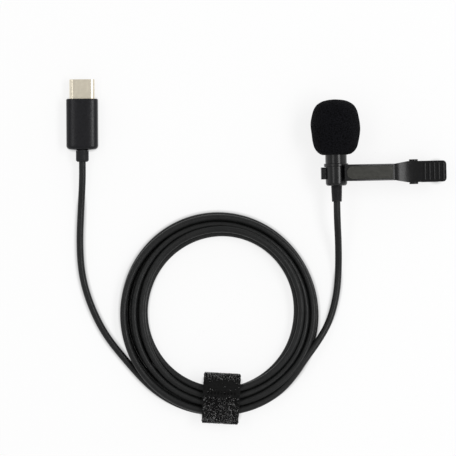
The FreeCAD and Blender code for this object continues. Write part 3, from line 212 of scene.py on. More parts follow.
def filleted(corners, steps=5):
    """A closed outline through (across, along, radius) corners, each rounded by an arc of its radius.

    The arc's centre lies on the corner's bisector, at the radius over the sine of half its opening.
    """
    places = np.array([corner[:2] for corner in corners], float)
    rounded = []
    for index, corner in enumerate(corners):
        here = places[index]
        if corner[2] == 0:
            rounded.append(here[None])
            continue
        before = places[index - 1] - here
        after = places[(index + 1) % len(corners)] - here
        before /= np.linalg.norm(before)
        after /= np.linalg.norm(after)
        half = math.acos(np.clip(before @ after, -1, 1)) / 2
        bisector = (before + after) / np.linalg.norm(before + after)
        centre = here + bisector * corner[2] / math.sin(half)
        start = here + before * corner[2] / math.tan(half) - centre
        end = here + after * corner[2] / math.tan(half) - centre
        share = np.linspace(0, 1, steps + 1)[:, None]
        arc = start * (1 - share) + end * share
        arc *= corner[2] / np.linalg.norm(arc, axis=1, keepdims=True)
        rounded.append(centre + arc)
    return np.concatenate(rounded)


def circle(count):
    return np.linspace(0, FULL_TURN, count, endpoint=False)


def turned(outline, turn, axis, start=0.0):
    """A surface of revolution about a line along Y: each (radius, place) goes round as a circle."""
    radius, place = outline[:, 0, None], outline[:, 1, None]
    return np.stack([
        axis.x + radius * np.cos(turn), start + place + 0 * turn, axis.z + radius * np.sin(turn),
    ], -1)


def ringed(name, points):
    """A tube through rings of points, one ring after the other, with a flat face at either end."""
    rings, count = points.shape[:2]
    faces = grid_faces(rings, count, False, True).tolist()
    faces.append(list(range(count)))
    faces.append(list(range((rings - 1) * count, rings * count)))
    return new_piece(name, points, np.array(faces, dtype=object))


def ripple(points, wavelength, seed, waves=56):
    """A smooth random field of unit strength: cosine waves of one length in seeded directions."""
    source = np.random.default_rng(seed)
    heading = source.normal(size=(waves, 3))
    heading /= np.linalg.norm(heading, axis=1, keepdims=True)
    phase = source.uniform(0, FULL_TURN, waves)
    turns = points.reshape(-1, 3) @ (heading.T * FULL_TURN / wavelength) + phase
    return (np.cos(turns).sum(1) / math.sqrt(waves / 2)).reshape(points.shape[:-1])


def smooth_step(value, low, high):
    share = np.clip((value - low) / (high - low), 0, 1)
    return share * share * (3 - 2 * share)


def through(knots, count):
    """A smooth line through (across, along) knots, evenly stepped: cubic pieces with shared slopes."""
    knots = np.array(knots, float)
    reach = np.concatenate([[0], np.cumsum(np.linalg.norm(np.diff(knots, axis=0), axis=1))])
    slope = np.gradient(knots, reach, axis=0)
    place = np.linspace(0, reach[-1], count)
    index = np.clip(np.searchsorted(reach, place, side="right") - 1, 0, len(knots) - 2)
    span = (reach[index + 1] - reach[index])[:, None]
    share = (place - reach[index])[:, None] / span
    return (
        knots[index] * (2 * share ** 3 - 3 * share ** 2 + 1)
        + slope[index] * span * (share ** 3 - 2 * share ** 2 + share)
        + knots[index + 1] * (3 * share ** 2 - 2 * share ** 3)
        + slope[index + 1] * span * (share ** 3 - share ** 2)
    )


# Materials

def added(tree, kind, **inputs):
    """A new node, with each input linked to another node's output or set to a value."""
    node = tree.nodes.new(kind)
    for name, value in inputs.items():
        socket = node.inputs[name.replace("_", " ").title()]
        if isinstance(value, bpy.types.NodeSocket):
            tree.links.new(value, socket)
        else:
            socket.default_value = value
    return node


def combined(tree, first, second, operation):
    """One of the Math node's operations on two outputs."""
    node = tree.nodes.new("ShaderNodeMath")
    node.operation = operation
    tree.links.new(first, node.inputs[0])
    tree.links.new(second, node.inputs[1])
    return node.outputs["Value"]


def ramp(tree, source, *stops):
    """A colour ramp over two stops, each a position and a colour."""
    node = added(tree, "ShaderNodeValToRGB", fac=source)
    for element, (position, colour) in zip(node.color_ramp.elements, stops):
        element.position = position
        element.color = (*colour, 1)
    return node.outputs["Color"]


class Finish:
    """A material on a Principled shader, with detail from the piece's own Object coordinates."""

    def __init__(self, name, colour, roughness, **sockets):
        self.material = bpy.data.materials.new(name)
        self.material.use_nodes = True
        self.tree = self.material.node_tree
        self.shader = self.tree.nodes["Principled BSDF"]
        self.colour = tuple(colour)
        self.shader.inputs["Base Color"].default_value = (*self.colour, 1)
        self.shader.inputs["Roughness"].default_value = roughness
        for socket, value in sockets.items():
            self.shader.inputs[socket.replace("_", " ").title().replace("Ior", "IOR")].default_value = value
        self.place = self.add("ShaderNodeTexCoord").outputs["Object"]
        self.relief = None

    def add(self, kind, **inputs):
        return added(self.tree, kind, **inputs)

    def stretched(self, scale):
        return self.add("ShaderNodeMapping", vector=self.place, scale=scale).outputs["Vector"]

    def noise(self, scale, detail, place=None):
        place = self.place if place is None else place
        return self.add("ShaderNodeTexNoise", vector=place, scale=scale, detail=detail).outputs["Fac"]

    def cells(self, scale):
        return self.add("ShaderNodeTexVoronoi", vector=self.place, scale=scale).outputs["Distance"]

    def bands(self, scale, distortion, axis):
        node = self.add("ShaderNodeTexWave", vector=self.place, scale=scale, distortion=distortion)
        node.bands_direction = axis
        return node.outputs["Fac"]

    def ranged(self, source, low, high, start=0.3, end=0.7):
        return self.add(
            "ShaderNodeMapRange", value=source, from_min=start, from_max=end, to_min=low, to_max=high
        ).outputs["Result"]

    def together(self, first, second, operation="MULTIPLY"):
        return combined(self.tree, first, second, operation)

    def coloured(self, source, dark, light, start=0.3, end=0.7):
        """The base colour runs from dark to light shares of the finish's own colour."""
        far = [min(1.0, part * light) for part in self.colour]
        tones = ramp(self.tree, source, (start, [part * dark for part in self.colour]), (end, far))
        self.tree.links.new(tones, self.shader.inputs["Base Color"])

    def rough(self, source, low, high):
        self.tree.links.new(self.ranged(source, low, high), self.shader.inputs["Roughness"])

    def mottled(self, tones, dark, light, wear, low, high):
        """Colour and roughness each follow a noise, which is given as its scale and detail."""
        self.coloured(self.noise(*tones), dark, light)
        self.rough(self.noise(*wear), low, high)

    def raised(self, source, strength, height):
        """Add a bump of a height in metres on top of the bumps before it."""
        node = self.add("ShaderNodeBump", height=source, strength=strength, distance=height)
        if self.relief:
            self.tree.links.new(self.relief, node.inputs["Normal"])
        self.relief = node.outputs["Normal"]
        self.tree.links.new(self.relief, self.shader.inputs["Normal"])

    def grained(self, scale, detail, strength, height):
        self.raised(self.noise(scale, detail), strength, height)


def sheath_finish(settings):
    """Satin sheath: fine drawn grain, faint mottling, rubbed patches."""
    finish = Finish("cord_sheath", settings.colour, 0.42, specular_ior_level=0.26)
    finish.mottled((900.0, 4.0), 0.78, 1.3, (260.0, 5.0), 0.36, 0.52)
    finish.grained(5200.0, 2.0, 0.18, 0.03 * MM)
    finish.grained(700.0, 2.0, 0.12, 0.08 * MM)
    return finish.material


def foam_finish(settings):
    """Open-cell foam: pits between cell walls, the colour darker in the pits and lighter on the walls as
    painted shade and light that follow the bump; dull all over with a faint bloom at the rim.
    """
    finish = Finish(
        "open_cell_foam", settings.colour, 0.95,
        specular_ior_level=0.06, sheen_weight=0.008, sheen_roughness=0.6,
    )
    cells = finish.cells(1 / settings.cell)
    # Darker where the cells' bump sinks and lighter where it rises: painted shade and light, with random tone
    # from a noise
    finish.coloured(finish.together(cells, finish.noise(3600.0, 3.0)), 2.6, 0.35, 0.05, 0.42)
    finish.raised(cells, 0.9, -0.12 * MM)
    finish.grained(5200.0, 4.0, 0.55, 0.06 * MM)
    return finish.material


def lacquer_finish(settings):
    """Black gloss lacquer on the barrel: orange peel and hair-fine scratches round it."""
    finish = Finish("barrel_lacquer", settings.barrel_colour, 0.22, specular_ior_level=0.36)
    finish.mottled((500.0, 3.0), 0.8, 1.25, (900.0, 4.0), 0.2, 0.28)
    finish.grained(1700.0, 1.0, 0.12, 0.02 * MM)
    scratch = finish.noise(900.0, 2.0, finish.stretched((0.4, 14.0, 0.4)))
    finish.raised(scratch, 0.1, 0.01 * MM)
    return finish.material


def soft_sleeve_finish(name, colour):
    """Soft moulded sleeve: dull, with a fine skin and rubbed crests."""
    finish = Finish(name, colour, 0.5, specular_ior_level=0.24)
    finish.mottled((800.0, 4.0), 0.75, 1.35, (500.0, 4.0), 0.46, 0.66)
    finish.grained(4200.0, 3.0, 0.3, 0.03 * MM)
    return finish.material


def clip_finish(settings):
    """Semi-gloss moulded plastic: fine flow lines along the lever, handling wear that dulls it."""
    finish = Finish("clip_plastic", settings.colour, 0.22, specular_ior_level=0.25)
    finish.mottled((1100.0, 4.0), 0.8, 1.3, (1500.0, 5.0), 0.18, 0.27)
    finish.grained(3800.0, 2.0, 0.1, 0.015 * MM)
    flow = finish.noise(300.0, 3.0, finish.stretched((1.0, 6.0, 1.0)))
    finish.raised(flow, 0.08, 0.02 * MM)
    return finish.material


def panel_finish(settings):
    """The lever's raised panel face, lighter in colour than the lever's plastic as a painted reflection:
    smooth, with faint lengthwise wipe marks.
    """
    finish = Finish("clip_panel_painted_reflection", settings.panel_painted_reflection_colour, 0.2, specular_ior_level=0.35)
    finish.coloured(finish.noise(900.0, 3.0), 0.88, 1.14)
    wipes = finish.noise(240.0, 4.0, finish.stretched((1.0, 9.0, 1.0)))
    finish.rough(wipes, 0.16, 0.25)
    finish.raised(wipes, 0.08, 0.01 * MM)
    return finish.material


def housing_finish(settings):
    """Satin plug moulding: spark-eroded grain, smoother where fingers rub."""
    finish = Finish("plug_moulding", settings.housing_colour, 0.3, specular_ior_level=0.26)
    finish.mottled((1100.0, 4.0), 0.8, 1.25, (1300.0, 4.0), 0.27, 0.37)
    finish.grained(5600.0, 2.0, 0.2, 0.02 * MM)
    return finish.material


def plated_finish(name, colour, roughness):
    """Drawn and plated metal: hair lines along Y, slight patches in tone and polish."""
    finish = Finish(name, colour, roughness, metallic=1.0)
    finish.coloured(finish.noise(700.0, 5.0), 0.95, 1.04)
    lines = finish.noise(5200.0, 2.0, finish.stretched((1.0, 0.04, 1.0)))
    finish.rough(lines, roughness * 0.9, roughness * 1.12)
    finish.raised(lines, 0.06, 0.003 * MM)
    return finish.material


def resin_finish(name, colour, roughness, speckle):
    """Moulded resin or board: speckle of its filler and a fine surface grain."""
    finish = Finish(name, colour, roughness)
    finish.mottled(
        (speckle, 4.0), 0.8, 1.25, (speckle * 0.5, 3.0), roughness * 0.85, min(1.0, roughness * 1.2)
    )
    finish.grained(speckle * 3, 2.0, 0.2, 0.02 * MM)
    return finish.material


def woven_finish(name, colour, pitch, sunk=None):
    """Woven cloth: crossed threads at a pitch, uneven in thickness. The colour is darker in the hollows
    between threads and lighter on their crests, painted shade and light, and darker still where an attribute
    is one, painted shade in sunk places.
    """
    finish = Finish(name, colour, 0.85, specular_ior_level=0.12, sheen_weight=0.02, sheen_roughness=0.5)
    warp, weft = (finish.bands(1 / pitch / 2, 0.6, axis) for axis in "XY")
    threads = finish.together(warp, weft, "MAXIMUM")
    # Darker in the hollows between threads and lighter on their crests, as the bump: painted shade and light,
    # with random tone from a noise
    tone = finish.together(threads, finish.noise(2600.0, 4.0))
    if sunk:
        # The attribute marks sunk stitches, which are darkened here: painted shade
        painted_shade_mark = finish.add("ShaderNodeAttribute")
        painted_shade_mark.attribute_name = sunk
        tone = finish.together(tone, finish.ranged(painted_shade_mark.outputs["Fac"], 1.0, 0.1, 0.0, 0.6))
    finish.coloured(tone, 0.3, 3.4, 0.12, 0.7)
    finish.raised(threads, 0.7, 0.07 * MM)
    finish.grained(5200.0, 3.0, 0.5, 0.05 * MM)
    return finish.material


def fibre_finish(name, colour, gloss):
    """Fine nylon loops: each a little lighter or darker than the next, with a thread's gloss."""
    finish = Finish(name, colour, 0.6, specular_ior_level=gloss)
    finish.coloured(finish.noise(2400.0, 2.0), 0.1, 2.6, 0.35, 0.68)
    finish.rough(finish.noise(1800.0, 2.0), 0.4, 0.65)
    finish.grained(9000.0, 1.0, 0.2, 0.01 * MM)
    return finish.material


def dress(node, finish):
    """Give a shown CAD node a finish, in its object's own material slots."""
    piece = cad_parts[node]
    if not piece.material_slots:
        piece.data.materials.append(finish)
    for slot in piece.material_slots:
        slot.link = "OBJECT"
        slot.material = finish
    return piece


def joined_copy(node, name, finish, bends=0.0):
    """A copy of a CAD piece: doubled points merged, faces joined that bend by fewer degrees than bends."""
    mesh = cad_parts[node].data.copy()
    mesh.materials.clear()
    piece = linked(name, mesh)
    work = bmesh.new()
    work.from_mesh(mesh)
    bmesh.ops.remove_doubles(work, verts=work.verts, dist=SAME_CORNER)
    if bends:
        bmesh.ops.dissolve_limit(
            work, angle_limit=math.radians(bends), verts=work.verts, edges=work.edges, delimit=set()
        )
    work.to_mesh(mesh)
    work.free()
    mesh.materials.append(finish)
    if mesh.attributes.get("custom_normal"):
        mesh.attributes.remove(mesh.attributes["custom_normal"])
    mesh.shade_smooth()
    return piece


def softened(node, name, width, finish, bends=2.0, sharp=28):
    """A joined copy of a CAD piece, with a bevel on edges that bend by more degrees than sharp."""
    piece = joined_copy(node, name, finish, bends)
    bevel = piece.modifiers.new("Edges", "BEVEL")
    bevel.width = width
    bevel.segments = 3
    bevel.limit_method = "ANGLE"
    bevel.angle_limit = math.radians(sharp)
    bevel.harden_normals = True
    bevel.use_clamp_overlap = True
    return piece


# Cord

CORD_START = (-0.013901, -0.0152, 0.008142)
MIC_EXIT = (-0.013901, -0.016775, 0.008142)
MIC_RUN = (
    (-0.013901, -0.022775, 0.008142),
    (-0.01355, -0.03077, 0.0044),
    (-0.01365, -0.03977, 0.0015),
    (-0.0145, -0.04777, 0.0013),
    (-0.0168, -0.05577, 0.0016),
    (-0.0205, -0.0620, 0.0031),
    (-0.0252, -0.0681, 0.0042),
)
PLUG_RUN = (
    (-0.0856, -0.0656, 0.00118),
    (-0.0898, -0.0601, 0.00116),
    (-0.0931, -0.05427, 0.00116),
    (-0.0963, -0.04627, 0.00115),
    (-0.0982, -0.03777, 0.00115),
    (-0.0985, -0.02777, 0.00115),
    (-0.0978, -0.01727, 0.00116),
    (-0.097068, -0.007916, 0.0029),
    (-0.096974, -0.001917, 0.0029),
    (-0.09695, -0.00045, 0.0029),
)
COIL_CENTRE = (-0.05305, -0.05252)
COIL_START = math.radians(222)
COIL_TURNS = 7.25
TIE_ANGLE = math.radians(270)
# Where each turn lies at the tie, the right, the top and the left: its place in diameters from the
# outer edge, and its layer
TURN_PLACES = (
    ((0, 0), (0, 0), (0, 0), (0, 0)),
    ((1, 0), (1, 0), (1, 0), (1, 0)),
    ((2, 0), (2, 0), (2, 0), (2, 0)),
    ((3, 0), (2.7, 1), (2.5, 1), (3, 0)),
    ((3, 1), (2, 2), (1.7, 1), (3, 1)),
    ((2, 1), (1.2, 1), (1.1, 2), (1.6, 1)),
    ((1, 1), (0.1, 1), (0.4, 1), (0, 1)),
    ((0, 1), (-0.1, 1), (-0.1, 1), (-0.1, 1)),
)
# How the turns lie: their spacing in diameters, the rise of a layer, their wander and its wavelength in
# turns, how far out the plug's end starts, and how near the tie they feel it and its room
SPACING = 1.012
LAYER_RISE = 0.95
WANDER = 0.1 * MM
WANDER_TURNS = 0.31
PLUG_END_OUT = 0.9 * MM
TIE_REACH = (math.radians(16), math.radians(42))
TIE_FLOOR = 1.22 * MM
TIE_ROOF = 5.25 * MM
OPEN_ROOF = 20 * MM
SLACK = 0.1 * MM
FREE_TURNS = 0.12

# How they settle: the shares of the way that a step draws, evens and pushes a point, its drop, the share
# of the steps that draw, the pushes in a step, and the nearest that two points count as
DRAWN = 0.07
EVENED = 0.3
PUSHED = 0.45
DROP = 0.022 * MM
DRAWING_STEPS = 0.85
PUSHES = 3
NEAREST = 1e-6
def coil_edges(angle, settings):
    """Radii of the innermost and outermost centrelines: circles that swell in one to three slow waves."""
    inner = settings.inner_radius + MM * (
        0.84 * np.cos(angle - math.radians(51)) + 0.45 * np.cos(2 * (angle - math.radians(72)))
    )
    outer = settings.outer_radius + MM * (
        0.25 * np.cos(angle + math.radians(110)) + 0.47 * np.cos(2 * (angle + math.radians(80)))
        + 0.12 * np.cos(3 * (angle + math.radians(18)))
    )
    return inner, outer


def parted(radius, height, stations, thick):
    """Push turns apart, along the line between them, where they are nearer than a diameter."""
    for away in range(stations, len(radius), stations):
        across = radius[away:] - radius[:-away]
        up = height[away:] - height[:-away]
        gap = np.maximum(np.hypot(across, up), NEAREST)
        push = np.maximum(0, thick - gap) / gap * PUSHED
        radius[away:] += across * push
        radius[:-away] -= across * push
        height[away:] += up * push
        height[:-away] -= up * push


def settled_coil(settings):
    """Angles, radii and heights of the coil's centreline, from the plug's end to the microphone's.

    The turns start in their places and settle in steps. Each step draws points back to their places, a
    little down and to the middle of their neighbours. Then it pushes turns apart that overlap in the upright
    plane through the coil's axis, and keeps them between the coil's edges, above the surface and in the tie.
    """
    stations = settings.stations
    thick = settings.diameter * SPACING
    turn = np.arange(round(COIL_TURNS * stations) + 1) / stations
    angle = COIL_START + FULL_TURN * turn
    places = np.array(TURN_PLACES, float).reshape(-1, 2)
    reached = (turn - (TIE_ANGLE - COIL_START) / FULL_TURN) * len(TURN_PLACES[0])
    index = np.clip(np.floor(reached).astype(int), 0, len(places) - 2)
    onwards = smooth_step(reached - index, 0, 1)[:, None]
    inwards, layer = (places[index] * (1 - onwards) + places[index + 1] * onwards).T
    inner, outer = coil_edges(angle, settings)
    wander = ripple(np.stack([turn, 0 * turn, 0 * turn], -1), WANDER_TURNS, 11)
    aim = outer - inwards * thick + WANDER * wander
    aim[0] = outer[0] + PLUG_END_OUT
    radius = aim.copy()
    height = thick * (0.5 + layer * LAYER_RISE)
    off_tie = np.abs((angle - TIE_ANGLE + math.pi) % FULL_TURN - math.pi)
    at_tie = 1 - smooth_step(off_tie, *TIE_REACH)
    floor = thick / 2 + 0.01 * MM + at_tie * TIE_FLOOR
    roof = TIE_ROOF + (1 - at_tie) * OPEN_ROOF
    low = inner - SLACK
    high = np.where(turn < FREE_TURNS, 1.0, outer + SLACK)
    for step in range(settings.settling):
        if step < settings.settling * DRAWING_STEPS:
            radius += DRAWN * (aim - radius)
            height -= DROP
            for line in (radius, height):
                line[1:-1] += EVENED * ((line[:-2] + line[2:]) / 2 - line[1:-1])
        for again in range(PUSHES):
            parted(radius, height, stations, thick)
            height = np.clip(height, floor, roof)
            radius = np.clip(radius, low, high)
    return angle, radius, height


def cord_points(settings):
    """Control points of the whole cord, from the microphone through the coil to the plug.

    A point of a turn stands out by the amount that the spline cuts inside its corners.
    """
    angle, radius, height = settled_coil(settings)
    cut_in = 0.75 + 0.25 * math.cos(FULL_TURN / settings.stations)
    coil = np.stack([
        COIL_CENTRE[0] + radius / cut_in * np.cos(angle),
        COIL_CENTRE[1] + radius / cut_in * np.sin(angle),
        height,
    ], -1)[::-1]
    return np.concatenate([[CORD_START], [MIC_EXIT], MIC_RUN, coil, PLUG_RUN])


def spline_curve(name, points, radius, rings, sides):
    """A tube on a spline: each point holds the tube's radius, and the bevel is one metre times that."""
    curve = bpy.data.curves.new(name, "CURVE")
    curve.dimensions = "3D"
    spline = curve.splines.new("NURBS")
    spline.points.add(len(points) - 1)
    spline.points.foreach_set("co", np.column_stack([points, np.ones(len(points))]).ravel())
    spline.points.foreach_set("radius", np.full(len(points), radius))
    spline.order_u = 3
    spline.use_endpoint_u = True
    spline.resolution_u = rings
    curve.bevel_depth = 1.0
    curve.bevel_resolution = sides
    curve.use_fill_caps = True
    return linked(name, curve)

class MICROPHONE_OT_cord(bpy.types.Operator):
    """Lay the cord from the microphone through its coil to the plug"""
    bl_idname = "microphone.cord"
    bl_label = "Cord"

    def execute(self, context):
        settings = context.scene.cord_settings
        cord = spline_curve("cord", cord_points(settings), settings.diameter / 2, rings=5, sides=6)
        cord.data.materials.append(sheath_finish(settings))
        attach(cord, "microphone")
        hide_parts("cable_mic_lead", "cable_coil", "cable_plug_lead")
        return {"FINISHED"}


# Microphone

# The windscreen in millimetres from the barrel's lip: its outside as (radius, place), and its bore's corners
FOAM_OUTLINE = (
    (3.75, 2.86), (4.6, 2.9), (5.75, 3.5), (6.85, 4.85), (7.5, 6.9), (7.95, 9.6), (8.08, 11.8),
    (7.85, 14.9), (7.1, 17.6), (6.03, 19.2), (4.6, 20.2), (2.6, 20.85), (0.0, 21.06),
)
FOAM_BORE = ((0.0, 13.1, 0.0), (3.66, 13.1, 0.5), (3.66, 2.86, 0.0))
FOAM_TOP = 21.1
FOAM_ROWS = 205
FOAM_COLUMNS = 430

# The strain relief: its radii, and the lengths of its flange and of its plain part with the flange
RELIEF_BORE = 1.145 * MM
RELIEF_END = 1.66 * MM
RELIEF_SHOULDER = 1.85 * MM
FLANGE_LENGTH = 0.8 * MM
PLAIN_LENGTH = 1.56 * MM
RING_DEPTH = 0.05 * MM
class MICROPHONE_OT_windscreen(bpy.types.Operator):
    """Make the foam windscreen with its open cells and its bore"""
    bl_idname = "microphone.windscreen"
    bl_label = "Windscreen"

    def execute(self, context):
        """Turned from its outline; each point of the outer skin sinks where two random fields meet."""
        settings = context.scene.foam_settings
        axis = middle("foam_windscreen")
        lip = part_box("foam_windscreen")[1].y - FOAM_TOP * MM
        outer = through(FOAM_OUTLINE, FOAM_ROWS) * MM
        outline = np.concatenate([outer, filleted(FOAM_BORE, 4) * MM])
        turn = circle(FOAM_COLUMNS)
        points = turned(outline, turn, axis, lip)
        skin = np.zeros(len(outline))
        skin[2:len(outer) - 1] = 1
        slope = np.gradient(outline, axis=0)
        slope /= np.linalg.norm(slope, axis=1, keepdims=True)
        outward = turned(np.stack([slope[:, 1], -slope[:, 0]], -1), turn, Vector())
        fine, coarse = ripple(points, settings.cell, 3), ripple(points, settings.cell * 1.9, 5)
        pits = smooth_step(fine * 0.8 + coarse * 0.5, 0, 1.5)
        swell = ripple(points, 6 * MM, 8) * 0.06 * MM - 0.08 * MM
        points += outward * (skin[:, None] * (swell - pits * settings.pore_depth))[..., None]
        foam = new_piece("windscreen", points, grid_faces(len(outline), len(turn), True, True))
        foam.data.materials.append(foam_finish(settings))
        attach(foam, "windscreen")
        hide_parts("foam_windscreen")
        return {"FINISHED"}


class MICROPHONE_OT_barrel(bpy.types.Operator):
    """Finish the barrel, its cap, grille and ringed strain relief"""
    bl_idname = "microphone.barrel"
    bl_label = "Barrel"

    def execute(self, context):
        settings = context.scene.microphone_settings
        lacquer = lacquer_finish(settings)
        sleeve = soft_sleeve_finish("relief_sleeve", settings.relief_colour)
        dress("mic_barrel", lacquer)
        dress("tail_cap", lacquer)
        dress("front_grille", plated_finish("grille_steel", settings.grille_colour, 0.35))
        relief = self.ring_relief(settings)
        relief.data.materials.append(sleeve)
        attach(relief, "microphone")
        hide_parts("mic_strain_relief")
        return {"FINISHED"}

    def ring_relief(self, settings):
        """Turned from its outline: a cone whose radius dips in a cosine at each ring, then a plain part."""
        low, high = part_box("mic_strain_relief")
        flange = (high.x - low.x) / 2
        shoulder = high.y - FLANGE_LENGTH
        back = high.y - PLAIN_LENGTH
        rings = np.arange(low.y + 0.35 * MM, back - 0.1 * MM, settings.ring_pitch / 8)
        taper = RELIEF_END + (rings - low.y) / (back - low.y) * (RELIEF_SHOULDER - RELIEF_END)
        dips = RING_DEPTH * (1 + np.cos((rings - rings[0]) * FULL_TURN / settings.ring_pitch))
        start = filleted([
            (RELIEF_BORE, low.y, 0.1 * MM), (RELIEF_END - 0.04 * MM, low.y, 0.22 * MM),
            (RELIEF_END, rings[0], 0.0),
        ])
        outline = np.concatenate([start[:-1], np.stack([taper - dips, rings], -1), [
            (RELIEF_SHOULDER, back), (RELIEF_SHOULDER, shoulder), (flange, shoulder), (flange, high.y),
            (RELIEF_BORE, high.y),
        ]])
        turn = circle(96)
        points = turned(outline, turn, middle("mic_strain_relief"))
        return new_piece("strain_relief", points, grid_faces(len(outline), len(turn), True, True))

class MICROPHONE_OT_capsule(bpy.types.Operator):
    """Finish the pieces inside the barrel"""
    bl_idname = "microphone.capsule"
    bl_label = "Capsule"

    def execute(self, context):
        settings = context.scene.microphone_settings
        dress("dust_cloth", woven_finish("dust_cloth_weave", (0.02, 0.02, 0.02), 0.16 * MM))
        dress("capsule_boot", soft_sleeve_finish("capsule_boot_rubber", settings.relief_colour))
        dress("electret_capsule", plated_finish("capsule_aluminium", (0.62, 0.62, 0.63), 0.32))
        dress("capsule_board", resin_finish("capsule_board_resin", (0.02, 0.12, 0.05), 0.4, 900.0))
        dress("signal_wires", resin_finish("signal_wire_skin", (0.45, 0.06, 0.05), 0.4, 700.0))
        return {"FINISHED"}


# Clip

class MICROPHONE_OT_clip(bpy.types.Operator):
    """Round the clip's levers and finish them with their pin"""
    bl_idname = "microphone.clip"
    bl_label = "Clip"

    def execute(self, context):
        settings = context.scene.clip_settings
        plastic = clip_finish(settings)
        front = softened("clip_front_lever", "front_lever", settings.edge, plastic)
        front.data.materials.append(panel_finish(settings))
        self.face_panel(front.data, settings)
        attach(front, "clip")
        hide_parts("clip_front_lever")
        rear = softened("clip_rear_lever", "rear_lever", settings.edge, plastic)
        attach(rear, "rear_lever")
        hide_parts("clip_rear_lever")
        dress("hinge_pin", plated_finish("pin_steel_polish", (0.05, 0.05, 0.052), 0.3))
        return {"FINISHED"}

    def face_panel(self, mesh, settings):
        """Give the second finish to faces within the panel's outline, in the clip's own pitched frame."""
        margin = 0.1 * MM
        centres = np.empty(len(mesh.polygons) * 3)
        mesh.polygons.foreach_get("center", centres)
        axis = middle("mic_barrel")
        reach, across, rise = (centres.reshape(-1, 3) - (axis.x, middle("hinge_pin").y, axis.z)).T
        along = reach * math.cos(settings.pitch) - rise * math.sin(settings.pitch)
        up = reach * math.sin(settings.pitch) + rise * math.cos(settings.pitch)
        inside = np.abs(along - settings.panel_place) < settings.panel_length / 2 + margin
        inside &= (np.abs(across) < settings.panel_width / 2 + margin) & (up > settings.panel_foot)
        mesh.polygons.foreach_set("material_index", inside.astype(np.int32))


class MICROPHONE_OT_spring(bpy.types.Operator):
    """Copy the torsion spring with its finish, its place baked into its points"""
    bl_idname = "microphone.spring"
    bl_label = "Spring"

    def execute(self, context):
        spring = joined_copy("torsion_spring", "spring", plated_finish("spring_wire", (0.4, 0.4, 0.42), 0.3))
        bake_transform(spring)
        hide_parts("torsion_spring")
        return {"FINISHED"}


# Plug

class MICROPHONE_OT_plug(bpy.types.Operator):
    """Finish the plug's housing, boot, shell and what they hold"""
    bl_idname = "microphone.plug"
    bl_label = "Plug"

    def execute(self, context):
        settings = context.scene.plug_settings
        sleeve = context.scene.microphone_settings.relief_colour
        self.mould_housing(settings)
        dress("plug_strain_relief", soft_sleeve_finish("plug_boot_rubber", sleeve))
        dress("usb_shell", plated_finish("nickel_plate", settings.shell_colour, 0.34))
        dress("contact_insulator", resin_finish("insulator_resin", (0.02, 0.02, 0.02), 0.5, 1200.0))
        dress("plug_contacts", plated_finish("contact_plate", (0.83, 0.62, 0.25), 0.25))
        dress("side_latches", plated_finish("latch_steel", (0.5, 0.5, 0.51), 0.3))
        dress("plug_board", resin_finish("plug_board_resin", (0.02, 0.12, 0.05), 0.4, 900.0))
        dress("converter_chip", resin_finish("chip_resin", (0.03, 0.03, 0.032), 0.55, 1500.0))
        dress("board_capacitors", resin_finish("capacitor_ceramic", (0.5, 0.38, 0.25), 0.5, 1500.0))
        dress("plug_wires", resin_finish("plug_wire_skin", (0.45, 0.06, 0.05), 0.4, 700.0))
        return {"FINISHED"}

    def mould_housing(self, settings):
        """Sections |x/a|^n + |z/b|^n = 1 along the plug: a and b shrink as quarter circles at both ends.

        The front face is flat, and the rear one bulges by a share of one less the square of its own radius.
        """
        low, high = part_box("plug_housing")
        half = settings.housing_length / 2
        front, rear, bulge = 0.4 * MM, 1.25 * MM, 0.3 * MM
        flatter = 0.7
        rows = 28
        turn = np.linspace(0, math.pi / 2, 9)
        face = np.linspace(0, 1, 6)[:-1]
        inset = np.concatenate([
            0 * face + front, front * (1 - np.sin(turn)), np.zeros(rows), rear * (1 - np.cos(turn)),
            0 * face + rear,
        ])
        share = np.concatenate([face, np.ones(2 * len(turn) + rows), face[::-1]])
        along = np.concatenate([
            0 * face + half, half - front * (1 - np.cos(turn)),
            np.linspace(half - front, rear + bulge - half, rows + 2)[1:-1],
            bulge - half + rear * (1 - np.sin(turn)), bulge * face[::-1] ** 2 - half,
        ])[:, None]
        wide = (share * (settings.housing_width / 2 - inset))[:, None]
        tall = (share * ((high.z - low.z) / 2 - inset * flatter))[:, None]
        round_it = circle(144)
        power = 2 / settings.fullness
        across = wide * np.sign(np.cos(round_it)) * np.abs(np.cos(round_it)) ** power
        up = tall * np.sign(np.sin(round_it)) * np.abs(np.sin(round_it)) ** power
        points = laid("plug_housing", settings.heading, across, along, middle("plug_housing").z + up)
        housing = new_piece("housing", points, grid_faces(len(along), len(round_it), False, True))
        housing.data.materials.append(housing_finish(settings))
        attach(housing, "microphone")
        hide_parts("plug_housing")


# Tie

STRAP_STEP = 0.22 * MM
